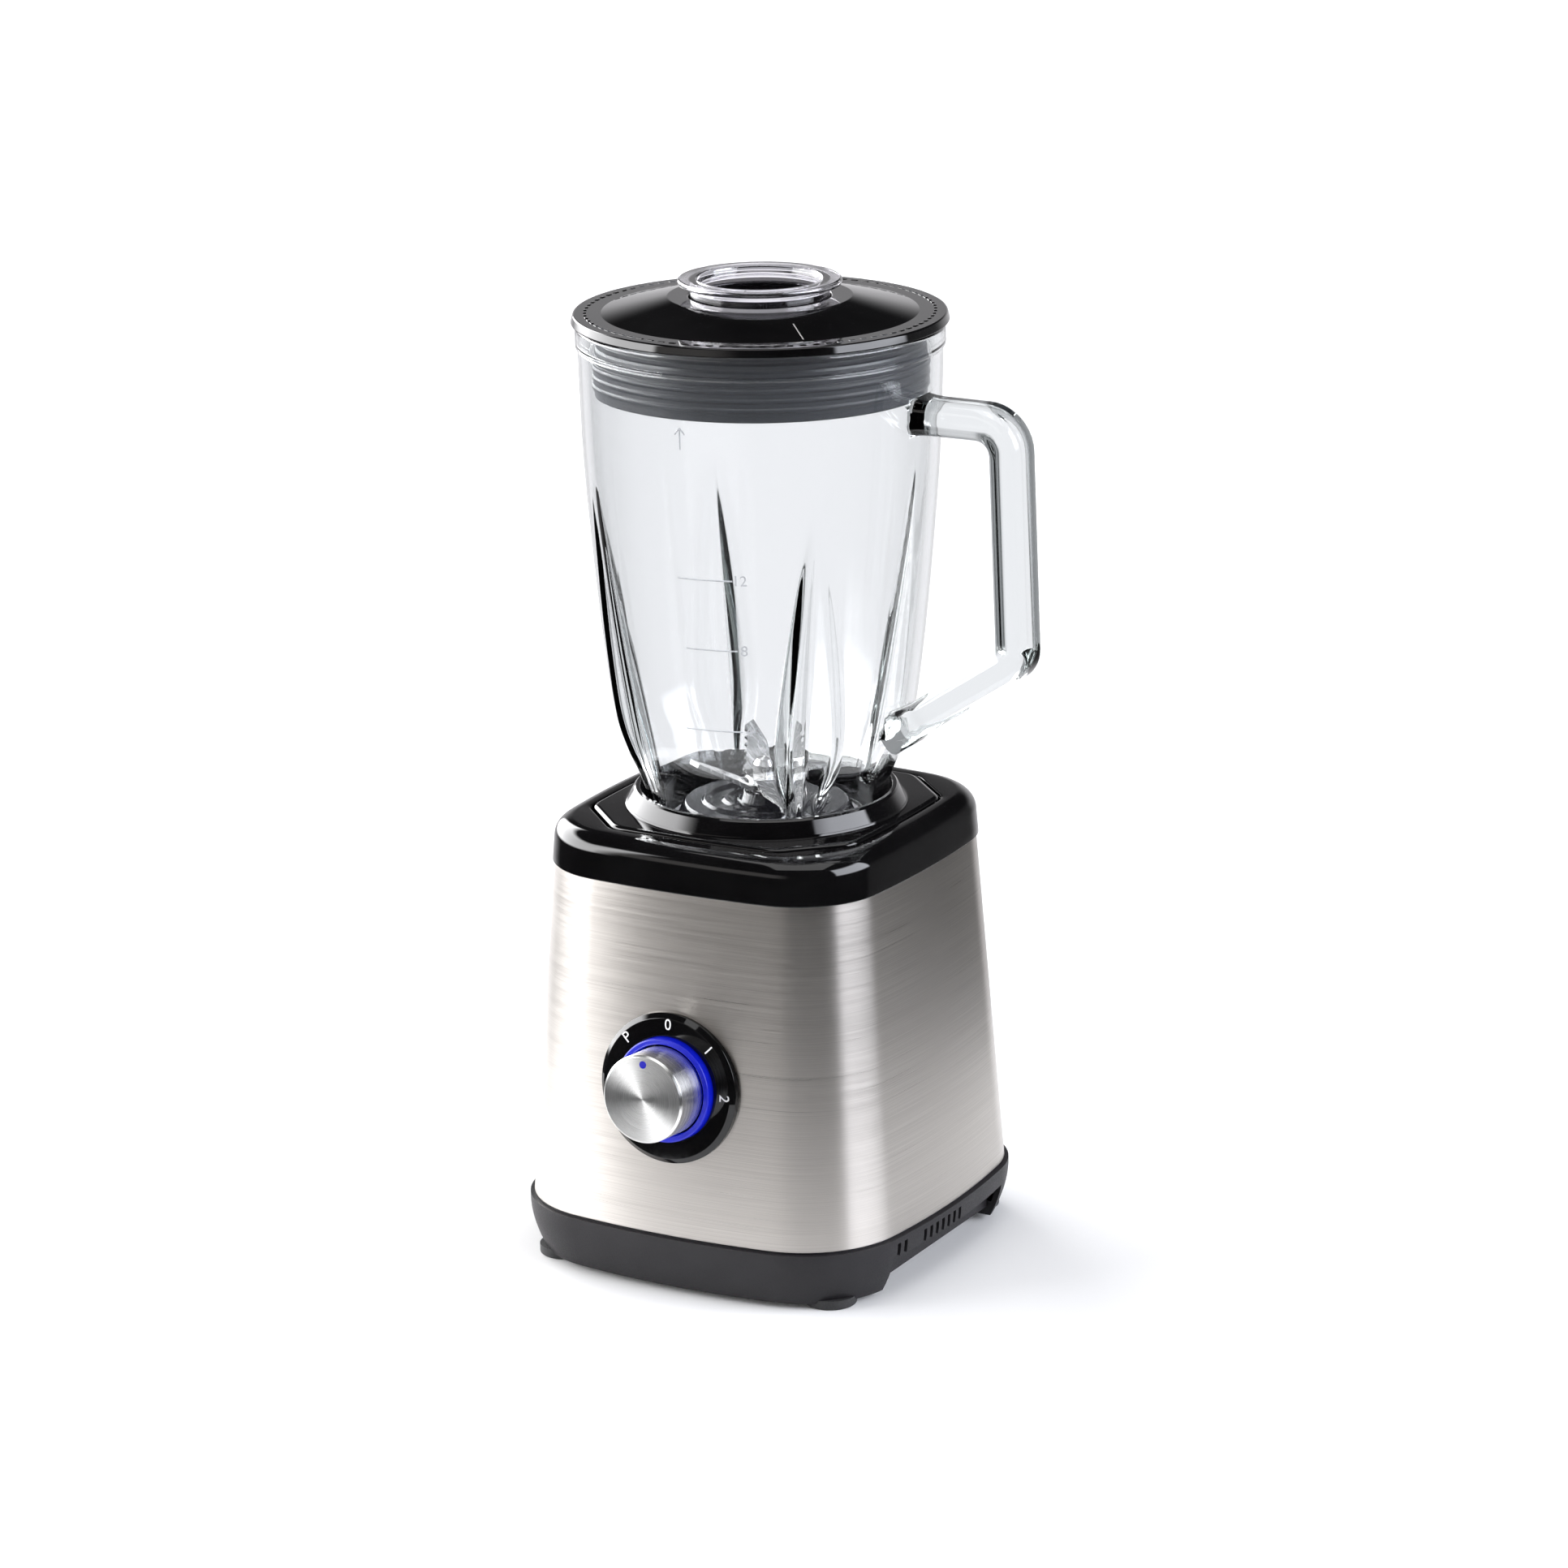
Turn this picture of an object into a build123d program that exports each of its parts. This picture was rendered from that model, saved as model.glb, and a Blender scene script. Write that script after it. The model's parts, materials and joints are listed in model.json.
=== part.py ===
from build123d import *
import os
from math import atan2, cos, degrees, pi, radians, sin

# Countertop blender. Millimetres, +Z up, the dial faces -Y, the handle points to +X.
# The origin is on the motor axis, in the plane that the feet stand on.

# ---- housing: a bulged, tapered square that carries everything ----
base_half_x = 83.4          # steel sleeve at its lower edge
base_half_y = 85.4
base_sag = 8.2              # how far each side bulges past its corners
base_corner = 42.0
top_half_x = 72.3           # steel sleeve at its upper edge
top_half_y = 74.0
top_sag = 5.2
top_corner = 34.5
steel_z0 = 25.2
steel_z1 = 164.6
steel_wall = 0.8
lip_wall = 2.2              # plastic lips that locate the sleeve from inside
lip_height = 5.5
lip_gap = 0.3
loose_fit = 0.2             # room left round parts that are pushed into holes

# ---- base pan and feet ----
pan_rim_proud = 1.5         # rim stands out past the steel
pan_rim_z = 24.4
pan_bottom_z = 2.4
pan_wall = 2.2
pan_tuck = 6.6              # how far the skirt draws in towards the floor
pan_floor_z = 6.0
pan_floor = 2.5
pan_steps = 4               # sections that shape the skirt
pan_curve = 1.8             # how late the skirt turns in
rim_step = 0.5              # small ledge on top of the rim
arch_half = 47.0            # side arches between the legs
arch_z = 16.6
leg_x = 46.0
leg_reach = 50.0
vent_width = 2.2
vent_height = 11.0
vent_reach = 16.0
vent_pitch = 4.7
vent_groups = ((-44.0, 2), (-25.0, 7))      # y of a group's first slot, and its slots
grille_slots = 16
grille_x = 23.0
grille_length = 20.0
grille_width = 3.0
foot_x = 61.0
foot_y = 62.0
foot_radius = 10.5
foot_inset = 1.6
foot_stud = 4.0
foot_edge = 1.0

# ---- top cover ----
cover_z0 = 163.8
cover_z1 = 181.5
cover_proud = 1.0
cover_wall = 2.5
shelf_height = 2.0          # ledge inside the cover that rests on the sleeve
cover_round = 7.0
cover_taper = 1.2
recess_height = 20.0
seat_z = 177.5              # recess floor that the jug stands on
plate_gap = 1.0
well_floor_z = 155.0
well_floor = 3.0
well_wall = 2.5

# ---- chassis ----
chassis_z1 = 144.0
chassis_plate = 4.0
chassis_half = 60.0
chassis_sag = 2.0
chassis_corner = 16.0
chassis_hole = 30.0
chassis_ring = 4.0
chassis_ring_rise = 3.0
column_x = 50.0
column_radius = 6.0
cover_boss_x = 52.0
cover_boss_y = 36.0
cover_boss_radius = 5.0
column_z0 = 12.0
screw_radius = 1.75
screw_clear = 0.15
screw_sink = 3.6            # counterbore for a screw head
screw_bite = 12.0           # how deep a screw goes into its column
screw_hole = 14.0
head_radius = 3.2
head_height = 2.2
head_slot = 0.9
head_slot_deep = 0.8

# ---- motor ----
shaft_radius = 4.0
run_fit = 0.05
shaft_z0 = 17.0
shaft_z1 = 168.0
stack_z0 = 74.0
stack_z1 = 112.0
stack_half_x = 42.0
stack_half_y = 38.0
stack_corner = 9.0
rotor_radius = 24.0
air_gap = 0.6
slot_count = 12
slot_floor = 15.0
slot_half = 2.0
winding_inner = 7.0
winding_height = 7.0
winding_step = 2.6
winding_gap = 0.2
pole_half = 20.5
coil_thick = 8.5
coil_y0 = 22.0
coil_y1 = 31.0
coil_gap = 0.3
coil_round = 5.0
bar_width = 22.0
leg_in_x = 38.0
leg_thick = 8.0
bracket_plate = 4.0
bracket_arm = 8.0           # half width of its legs
lower_bracket_z = 40.0
upper_bracket_z = 128.0
bearing_radius = 9.0
bearing_height = 8.0
race_wall = 2.2
race_groove = 0.6
hub_wall = 3.5
hub_drop = 2.0              # lower bearing's hub starts this far under its bar
damper_x = 45.0
damper_y = 7.0
damper_radius = 4.2
commutator_radius = 11.0
commutator_z0 = 50.0
commutator_z1 = 65.0
slit_depth = 1.4
slit_half = 0.3
brush_width = 5.0
brush_height = 8.0
brush_z = 57.0
brush_length = 15.0
brush_gap = 0.15
brush_spring_wire = 0.3
brush_spring_turns = 6
holder_wall = 3.0
holder_roof = 2.2
holder_back = 1.5
holder_y0 = 14.0
holder_y1 = 38.0
fan_radius = 35.0
fan_z0 = 20.0
fan_height = 12.0
fan_blades = 9
fan_hub = 9.0
fan_plate = 2.0
vane_half = 0.9
vane_aside = 3.0            # vanes run past the axis instead of through it
shroud_radius = 38.0
shroud_wall = 2.0
shroud_flange = 8.0
seal_radius = 9.0
seal_lip = 2.0
clip_width = 2.6
clip_thick = 1.0
clip_rise = 0.6

# ---- couplings between motor and blades ----
teeth = 12
tooth_depth = 2.4
tooth_fill = 0.55           # share of the pitch that a tooth takes
drive_radius = 13.5
drive_z0 = 158.5
drive_z1 = 169.5
mesh_gap = 0.5
driven_radius = 18.5
driven_z0 = 160.5
driven_web = 3.5
driven_roof = 1.2           # gap above the drive coupling

# ---- dial, square to the leaning front face ----
dial_z = 85.6
bezel_radius = 30.4
bezel_bevel = 2.0
bezel_edge = 1.4
bezel_face = 3.0
bezel_boss = 25.0
bezel_depth = 5.0
ring_radius = 20.9
ring_wall = 2.4
ring_face = 6.6
ring_seat = 0.6
knob_radius = 17.7
knob_face = 22.0
knob_skirt = 5.2
knob_wall = 1.2
knob_edge = 0.7
knob_roof = 5.0             # solid part behind the knob's face
knob_core_wall = 4.0
knob_hub = 2.5
spindle_radius = 3.0
spindle_flat = 2.0          # distance of its flat from the axis
spindle_hole = 1.0
marker_radius = 1.5
marker_length = 4.0
marker_proud = 0.15
marker_orbit = 14.0
switch_half = 14.0
switch_depth = 16.0
switch_round = 2.0
ear_half = 3.5
ear_long = 4.0
ear_out = 3.2
ear_thick = 2.4
pin_half = 2.0
pin_long = 7.0
pin_row = (-8.0, 0.0, 8.0)
led_thick = 1.6
led_gap = 0.1

# ---- jug ----
plate_half = 60.5
plate_sag = 3.0
plate_chamfer = 21.0
plate_soften = 8.0
plate_top = 182.5
plate_round = 1.6
neck_radius = 48.0
collar_base = neck_radius + 8.2
collar_top = neck_radius + 5.0
collar_z = 189.4
collar_mouth = neck_radius + 2.6
collar_edge = 0.8
collar_sink = 4.5
neck_gap = 0.4
neck_z0 = 174.0
glass_wall = 4.4
rim_z = 378.2
rim_band = 9.8
rim_proud = 1.0
boss_radius = neck_radius + 4.0
well_radius = boss_radius + 2.0     # well in the cover that takes the boss
boss_z0 = 163.0
boss_bore = neck_radius - 8.0
gasket_thick = 2.0
gasket_inner = neck_radius - 10.5
gasket_gap = 0.6
holder_flange = 2.0
holder_radius = neck_radius - 1.5
dome_radius = neck_radius - 12.0
dome_z = 184.0
dome_wall = 3.0
dome_slope = 3.0
dome_shoulder = 6.0
hub_radius = 9.0
hub_z0 = 175.2
hub_z1 = 188.0
bush_radius = 6.0
blade_shaft_radius = 3.5
blade_shaft_z1 = 196.5
seal_height = 2.0

# outer glass profile above the neck, as radius at height
shoulder = ((188.0, 48.3), (197.5, 51.4), (206.0, 55.2), (219.0, 59.3))
body_line = ((246.0, 63.2), (279.0, 66.6), (325.0, 70.2), (366.5, 71.6))

# ---- ribs pressed into the glass ----
rib_count = 4
rib_angle = 47.0
rib_spread = 30.0           # depth of the cutting prism
rib_bottom = 188.5
rib_top = 330.0
rib_low_radius = neck_radius - 2.5
rib_high_radius = 72.6
rib_nose = 1.6
rib_ridge = 4.9             # how far the ridge inside stands in from the groove

# ---- handle ----
grip_wide = 19.0
grip_deep = 13.6
grip_round = 4.5
grip_top_z = 347.2
grip_x_top = 109.6
grip_x_low = 112.8
grip_low_z = 253.5
grip_end_x = 57.0
grip_end_z = 217.0
grip_bend = 12.5
grip_low_bend = 7.0
pad_radius = 12.0
pad_thick = 8.0
pad_round = 1.8
pad_sink = 1.5              # how far a pad's middle lies inside the wall
low_pad_tilt = 76.0

# ---- blades ----
blade_thick = 1.6
blade_half = 7.5
blade_tip = 1.2
blade_sweep = 1.5
upper_reach = (30.0, 34.0)  # both arms of the serrated blade
upper_leans = (54.0, -13.0)
upper_turn = 137.0
lower_reach = (34.0, 33.0)
lower_leans = (26.0, 10.0)
lower_turn = 227.0
tooth_radius = 1.3
tooth_steps = 5
blade_z = 190.0
blade_bend = 8.5            # where each arm leaves the flat hub
spacer_height = 1.2
spacer_radius = 7.0
nut_radius = 6.0
nut_height = 4.0
nut_cap = (5.0, 3.6, 2.0, 2.8)      # domed end: radii, then heights above the nut

# ---- lid and measuring cap ----
lid_radius = 74.3
lid_top_radius = 73.3
lid_flange = 3.6
lid_ring = 62.3
lid_crown = 36.3
lid_crown_z = rim_z + 9.8
lid_wall = 2.6
lid_hole = 27.9
lid_tube = 30.2
lid_tube_z = rim_z - 5.2
plug_radius = 65.4
plug_wall = 2.5
plug_z = rim_z - 26.7
band_seal = plug_radius + 0.5
rib_seal = plug_radius + 1.0
seal_ribs = 3
seal_rib_root = 0.9
seal_rib_tip = 0.5
seal_z0 = rim_z - 23.6
seal_z1 = rim_z - 12.6
cap_radius = 32.3
cap_top = rim_z + 16.8
cap_flange = 2.6
cap_body = 27.4
cap_mouth = 23.4
cap_wall = 2.4
cap_bottom = rim_z - 11.2
cap_cone = 6.0
cap_edge = 0.8
cap_lug = 2.6
cap_lug_half = 5.0

# ---- jug interlock ----
pin_angle = 120.0
pin_orbit = 60.5
pin_radius = 2.0
pin_flange = 3.4
pin_z0 = 166.0
pin_gap = 0.1
pin_flange_z = 169.0
pin_flange_height = 1.5
micro_z0 = 152.0
micro_z1 = 164.0
micro_half = 10.0
micro_thick = 6.4
micro_button = 1.4
micro_pins = (-6.0, 0.0, 6.0)
micro_pin_long = 6.0
tab_thick = 2.4
spring_wire = 0.5
spring_turns = 3.5

# ---- cord inlet ----
gland_z = 15.5
gland_bore = 3.5
gland_radius = 6.0
gland_flange = 8.0
gland_length = 12.0
gland_sink = 1.6            # seat of its flange, below the pan's rim
gland_nose = 4.0

# ---- small electrics on the pan floor, as x and y spans ----
capacitor_x = (-30.0, -12.0)
terminal_x = (14.0, 34.0)
parts_y = (52.0, 62.0)
capacitor_height = 16.0
capacitor_round = 1.5
terminal_height = 12.0
terminal_bore = 1.6
terminal_holes = (19.0, 24.0, 29.0)

overlap = 0.5               # how far joined features run into each other


def bulged(half_x, half_y, sag, corner):
    """Square with bowed sides and round corners, centred on the axis."""
    cx = half_x - sag
    cy = half_y - sag
    sides = [
        ThreePointArc((-cx, -cy), (0, -half_y), (cx, -cy)),
        ThreePointArc((cx, -cy), (half_x, 0), (cx, cy)),
        ThreePointArc((cx, cy), (0, half_y), (-cx, cy)),
        ThreePointArc((-cx, cy), (-half_x, 0), (-cx, -cy)),
    ]
    face = make_face(Wire(sides).edges())
    return fillet(face.vertices(), corner)


def between(low, high, share):
    return low + (high - low) * share


def housing(z, inset=0.0):
    """Sleeve outline at one height, drawn in by inset."""
    share = (z - steel_z0) / (steel_z1 - steel_z0)
    outline = bulged(
        between(base_half_x, top_half_x, share) - inset,
        between(base_half_y, top_half_y, share) - inset,
        between(base_sag, top_sag, share),
        between(base_corner, top_corner, share) - inset,
    )
    return Pos(0, 0, z) * outline


def housing_block(z0, z1, inset=0.0):
    return loft([housing(z0, inset), housing(z1, inset)], ruled=True)


def tube(outer, inner, z0, z1):
    ring = Circle(outer) - Circle(inner)
    return extrude(Pos(0, 0, z0) * ring, z1 - z0)


def rod(radius, z0, z1):
    return extrude(Pos(0, 0, z0) * Circle(radius), z1 - z0)


def slab(x0, x1, y0, y1, z0, z1):
    centre = Pos((x0 + x1) / 2, (y0 + y1) / 2, (z0 + z1) / 2)
    return centre * Box(x1 - x0, y1 - y0, z1 - z0)


def turned(points):
    """Solid of revolution from (radius, height) points."""
    face = make_face(Polyline([(r, 0, z) for r, z in points], close=True).edges())
    return revolve(face, Axis.Z)


def corners(x, y):
    return [Pos(sx * x, sy * y) for sx in (-1, 1) for sy in (-1, 1)]


# ---------------------------------------------------------------- housing

def make_base_pan():
    """Pan with a drawn-in skirt, four legs, side arches and vents."""
    height = pan_rim_z - pan_bottom_z

    def section(z, wall=0.0):
        drop = max(0.0, pan_rim_z - z) / height
        return housing(z, pan_tuck * drop ** pan_curve - pan_rim_proud * (1 - 0.2 * drop) + wall)

    levels = [pan_bottom_z + height * step / pan_steps for step in range(pan_steps + 1)]
    outer = loft([section(z) for z in levels])
    floor_top = pan_floor_z + pan_floor
    rise = pan_rim_z + overlap - floor_top
    levels_in = [floor_top + rise * step / pan_steps for step in range(pan_steps + 1)]
    inner = loft([section(z, pan_wall) for z in levels_in])
    under = loft([section(z, pan_wall) for z in (pan_bottom_z - overlap, pan_bottom_z, pan_floor_z)])
    leg_box = slab(-leg_reach, leg_reach, -leg_reach, leg_reach, 0, pan_floor_z + overlap)
    for place in corners(leg_x + leg_reach, arch_half + leg_reach):
        under = under - place * leg_box
    pan = outer - inner - under
    reach = base_half_x + 10
    for side in (-1, 1):
        cut = slab(0, reach, -arch_half, arch_half, 0, arch_z)
        cut = cut - slab(0, base_half_x - pan_tuck - pan_wall, -arch_half, arch_half, pan_floor_z, arch_z)
        cut = Rot(0, 0, 0 if side > 0 else 180) * cut
        pan = pan - cut
        wall_x = base_half_x - pan_tuck - 2 * pan_wall
        screen = slab(wall_x, wall_x + pan_wall, -arch_half - pan_wall, arch_half + pan_wall,
                      pan_floor_z, pan_rim_z)
        pan = pan + Rot(0, 0, 0 if side > 0 else 180) * screen
        for first, count in vent_groups:
            for step in range(count):
                y = first + step * vent_pitch
                pan = pan - Pos(side * base_half_x, y, arch_z) * Box(vent_reach, vent_width, vent_height)
    pan = pan + (housing_block(pan_rim_z - 3, steel_z0, rim_step)
                 - housing_block(pan_rim_z - 4, steel_z0 + 1, rim_step + steel_wall + lip_wall))
    lip_in = steel_wall + lip_gap
    pan = pan + (housing_block(pan_rim_z - 3, steel_z0 + lip_height, lip_in)
                 - housing_block(pan_rim_z - 4, steel_z0 + lip_height + 1, lip_in + lip_wall))
    for place in corners(column_x, column_x):
        pan = pan + place * rod(column_radius, pan_floor_z, column_z0)
        pan = pan - place * rod(screw_radius + screw_clear, 0, column_z0 + 1)
        pan = pan - place * rod(screw_sink, 0, pan_floor_z)
    for place in corners(foot_x, foot_y):
        pan = pan - place * rod(foot_radius + loose_fit, 0, pan_bottom_z + foot_inset)
        pan = pan - place * rod(foot_stud, 0, floor_top + 1)
    slot = Pos(grille_x, 0, pan_floor_z) * Box(grille_length, grille_width, 4 * pan_floor)
    for step in range(grille_slots):
        pan = pan - Rot(0, 0, step * 360 / grille_slots) * slot
    gland_hole = rod(gland_radius, -2 * gland_length, 0) + rod(gland_flange + loose_fit, 0, gland_length)
    return pan - gland_place() * gland_hole


def make_feet():
    top = pan_bottom_z + foot_inset
    foot = rod(foot_radius, 0, top) + rod(foot_stud, top - overlap, pan_floor_z + pan_floor)
    foot = fillet(foot.edges().group_by(Axis.Z)[0], foot_edge)
    return [place * foot for place in corners(foot_x, foot_y)]


def make_steel_sleeve():
    sleeve = housing_block(steel_z0, steel_z1)
    sleeve = sleeve - housing_block(steel_z0 - 1, steel_z1 + 1, steel_wall)
    return sleeve - dial_frame() * rod(bezel_boss + loose_fit, -2 * bezel_depth, 2 * bezel_depth)


def make_top_cover():
    """Gloss cover: rounded rim, recess for the jug's plate and a deep round well."""
    def section(z, inset=0.0):
        share = (z - cover_z0) / (cover_z1 - cover_z0)
        return Pos(0, 0, z) * bulged(
            top_half_x + cover_proud - cover_taper * share - inset,
            top_half_y + cover_proud - cover_taper * share - inset,
            top_sag,
            top_corner + cover_proud - inset,
        )
    body = loft([section(cover_z0), section(cover_z1)], ruled=True)
    body = fillet(body.faces().sort_by(Axis.Z)[-1].edges(), cover_round)
    roof = seat_z - cover_wall
    hollow = loft([section(cover_z0 - 1, cover_wall), section(roof, cover_wall)], ruled=True)
    body = body - hollow
    ledge = housing_block(cover_z0 - 1, steel_z1, -lip_gap / 2)
    body = body - ledge
    lip_in = steel_wall + lip_gap
    lip = housing_block(cover_z0 - lip_height, roof + overlap, lip_in)
    lip = lip - housing_block(cover_z0 - lip_height - 1, roof + 1, lip_in + lip_wall)
    shelf = extrude(section(steel_z1, cover_wall / 4), shelf_height)
    shelf = shelf - housing_block(steel_z1 - 1, steel_z1 + 3, lip_in + lip_wall / 2)
    body = body + lip + shelf
    well = rod(well_radius + well_wall, well_floor_z - well_floor, roof + overlap)
    body = body + well
    for place in corners(cover_boss_x, cover_boss_y):
        body = body + place * rod(cover_boss_radius, chassis_z1, roof + overlap)
        body = body - place * rod(screw_radius, chassis_z1 - 1, chassis_z1 + screw_hole)
    recess = extrude(Pos(0, 0, seat_z) * plate_outline(plate_gap), recess_height)
    body = body - recess
    body = body - rod(well_radius, well_floor_z, seat_z + 1)
    body = body - rod(seal_radius, well_floor_z - well_floor - 1, well_floor_z + 1)
    place = pin_place()
    for side in (-1, 1):
        tab = slab(-micro_thick / 2 - 1, micro_thick / 2 + 1, micro_half, micro_half + tab_thick,
                   micro_z0, roof + overlap)
        body = body + place * Rot(0, 0, 0 if side > 0 else 180) * tab
    return body - place * rod(pin_radius + pin_gap, roof - 1, seat_z + 1)


def make_drip_seal():
    z0 = well_floor_z - well_floor
    seal = tube(seal_radius, shaft_radius + run_fit, z0, well_floor_z)
    return seal + tube(shaft_radius + seal_lip, shaft_radius + run_fit, z0, well_floor_z + seal_lip)


def make_chassis():
    z0 = chassis_z1 - chassis_plate
    outline = bulged(chassis_half, chassis_half, chassis_sag, chassis_corner)
    plate = extrude(Pos(0, 0, z0) * outline, chassis_plate)
    for place in corners(column_x, column_x):
        plate = plate + place * rod(column_radius, column_z0, z0 + overlap)
    ring_z = chassis_z1 + chassis_ring_rise
    brace = tube(chassis_hole + chassis_ring, chassis_hole, z0, ring_z)
    plate = plate + brace - rod(chassis_hole, z0 - 1, ring_z + 1)
    for place in corners(column_x, column_x):
        plate = plate - place * rod(screw_radius, column_z0 - 1, column_z0 + screw_hole)
    for place in corners(damper_x, damper_y) + corners(cover_boss_x, cover_boss_y):
        plate = plate - place * rod(screw_radius + screw_clear, z0 - 1, chassis_z1 + 1)
    return plate


# ------------------------------------------------------------------ motor

def make_stator_core():
    height = stack_z1 - stack_z0
    outline = RectangleRounded(2 * stack_half_x, 2 * stack_half_y, stack_corner)
    core = extrude(Pos(0, 0, stack_z0) * outline, height)
    core = core - rod(rotor_radius + air_gap, stack_z0 - 1, stack_z1 + 1)
    for sx in (-1, 1):
        for sy in (-1, 1):
            x0 = pole_half - coil_gap
            x1 = pole_half + coil_thick + coil_gap
            window = slab(x0, x1, coil_y0 - coil_gap, coil_y1 + coil_gap, stack_z0 - 1, stack_z1 + 1)
            core = core - mirrored(window, sx, sy)
    return core


def mirrored(shape, sx, sy):
    if sx < 0:
        shape = shape.mirror(Plane.YZ)
    if sy < 0:
        shape = shape.mirror(Plane.XZ)
    return shape


def make_stator_coils():
    outer = pole_half + coil_thick
    end = coil_thick
    loop = slab(-outer, outer, coil_y0, coil_y1, stack_z0 - end, stack_z1 + end)
    loop = fillet(loop.edges().filter_by(Axis.Y), coil_round)
    inner = slab(-pole_half, pole_half, coil_y0 - 1, coil_y1 + 1, stack_z0 - 0.1, stack_z1 + 0.1)
    loop = loop - inner
    return [loop, loop.mirror(Plane.XZ)]


def bracket(z_bar, z_core, hub_low, hub_high, cross):
    """Strap with a bearing hub and two legs that reach the lamination stack."""
    bar = slab(-leg_in_x - leg_thick / 2, leg_in_x + leg_thick / 2, -bar_width / 2, bar_width / 2,
               z_bar, z_bar + bracket_plate)
    if cross:
        bar = bar + slab(-bracket_arm, bracket_arm, -holder_y1, holder_y1, z_bar, z_bar + bracket_plate)
    for side in (-1, 1):
        low, high = sorted((z_bar + bracket_plate / 2, z_core))
        x = side * leg_in_x
        bar = bar + slab(x - leg_thick / 2, x + leg_thick / 2, -bracket_arm, bracket_arm, low, high)
    bar = bar + rod(bearing_radius + hub_wall, hub_low, hub_high)
    return bar - rod(bearing_radius, hub_low - 1, hub_high + 1)


def make_upper_bracket():
    z_bar = upper_bracket_z
    top = z_bar + bracket_plate
    shape = bracket(z_bar, stack_z1, top - bearing_height, top, False)
    for place in corners(damper_x, damper_y):
        shape = shape + place * rod(damper_radius + 1.0, z_bar, top)
    shape = shape - rod(bearing_radius, top - bearing_height - 1, top + 1)
    for place in corners(damper_x, damper_y):
        shape = shape - place * rod(screw_radius, z_bar - 1, top + 1)
    return shape


def make_lower_bracket():
    z_bar = lower_bracket_z
    return bracket(z_bar, stack_z0, z_bar - hub_drop, z_bar - hub_drop + bearing_height, True)


def make_bearing(z0):
    bearing = tube(bearing_radius, shaft_radius + run_fit, z0, z0 + bearing_height)
    top = z0 + bearing_height
    groove = tube(bearing_radius - race_wall, shaft_radius + race_wall, top - race_groove, top + 1)
    return bearing - groove


def make_dampers():
    z0 = upper_bracket_z + bracket_plate
    z1 = chassis_z1 - chassis_plate
    bush = tube(damper_radius, screw_radius + screw_clear, z0, z1)
    return [place * bush for place in corners(damper_x, damper_y)]


def screw(z_head, z_tip, scale=1.0):
    """Pan-head screw: the head seats at z_head and the shank runs to z_tip."""
    way = 1 if z_head > z_tip else -1
    low, high = sorted((z_head, z_tip))
    head_low, head_high = sorted((z_head, z_head + way * head_height * scale))
    shape = rod(screw_radius - screw_clear, low, high) + rod(head_radius * scale, head_low, head_high)
    slot_z = head_high if way > 0 else head_low
    return shape - Pos(0, 0, slot_z) * Box(head_radius, head_slot, 2 * head_slot_deep)


def make_motor_screws():
    one = screw(chassis_z1, upper_bracket_z)
    return [place * one for place in corners(damper_x, damper_y)]


def make_cover_screws():
    one = screw(chassis_z1 - chassis_plate, chassis_z1 + screw_bite)
    return [place * one for place in corners(cover_boss_x, cover_boss_y)]


def make_pan_screws():
    one = screw(pan_floor_z, column_z0 + screw_bite)
    return [place * one for place in corners(column_x, column_x)]


def make_brush_holders():
    z0 = lower_bracket_z + bracket_plate
    z1 = brush_z + brush_height / 2 + holder_roof
    side = brush_width / 2 + holder_wall
    block = slab(-side, side, holder_y0, holder_y1, z0, z1)
    half_w = brush_width / 2 + brush_gap
    half_h = brush_height / 2 + brush_gap
    block = block - slab(-half_w, half_w, holder_y0 - 1, holder_y1 - holder_back,
                         brush_z - half_h, brush_z + half_h)
    return [block, block.mirror(Plane.XZ)]


def make_brushes():
    y0 = commutator_radius + brush_gap
    half_w = brush_width / 2
    half_h = brush_height / 2
    brush = slab(-half_w, half_w, y0, y0 + brush_length, brush_z - half_h, brush_z + half_h)
    return [brush, brush.mirror(Plane.XZ)]


def coil_spring(radius, wire, length, turns):
    path = Helix(pitch=length / turns, height=length, radius=radius)
    start = Plane(origin=path @ 0, z_dir=path % 0)
    return sweep(start * Circle(wire), path=path)


def make_brush_springs():
    y0 = commutator_radius + brush_gap + brush_length
    wire = brush_spring_wire
    length = holder_y1 - holder_back - y0 - 2 * wire - brush_gap
    spring = coil_spring(brush_width / 2 - 2 * wire, wire, length, brush_spring_turns)
    spring = Pos(0, y0 + wire + brush_gap / 2, brush_z) * Rot(-90, 0, 0) * spring
    return [spring, spring.mirror(Plane.XZ)]


def make_fan_shroud():
    z0 = pan_floor_z + pan_floor
    z1 = fan_z0 + fan_height + shroud_wall
    shroud = tube(shroud_radius + shroud_wall, shroud_radius, z0, z1)
    return shroud + tube(shroud_radius + shroud_flange, shroud_radius, z0, z0 + shroud_wall)


# ------------------------------------------------------------------ rotor

def make_rotor_shaft():
    return chamfer(rod(shaft_radius, shaft_z0, shaft_z1).edges(), 0.6)


def make_armature_core():
    core = tube(rotor_radius, shaft_radius, stack_z0, stack_z1)
    for step in range(slot_count):
        slot = slab(slot_floor, rotor_radius + 1, -slot_half, slot_half, stack_z0 - 1, stack_z1 + 1)
        core = core - Rot(0, 0, step * 360 / slot_count) * slot
    return core


def make_armature_winding():
    outer = rotor_radius - winding_step
    half = slot_half - winding_gap
    shape = tube(outer, winding_inner, stack_z0 - winding_height, stack_z0)
    shape = shape + tube(outer, winding_inner, stack_z1, stack_z1 + winding_height)
    for step in range(slot_count):
        bar = slab(slot_floor + winding_gap, outer, -half, half, stack_z0, stack_z1)
        shape = shape + Rot(0, 0, step * 360 / slot_count) * bar
    return shape


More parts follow.
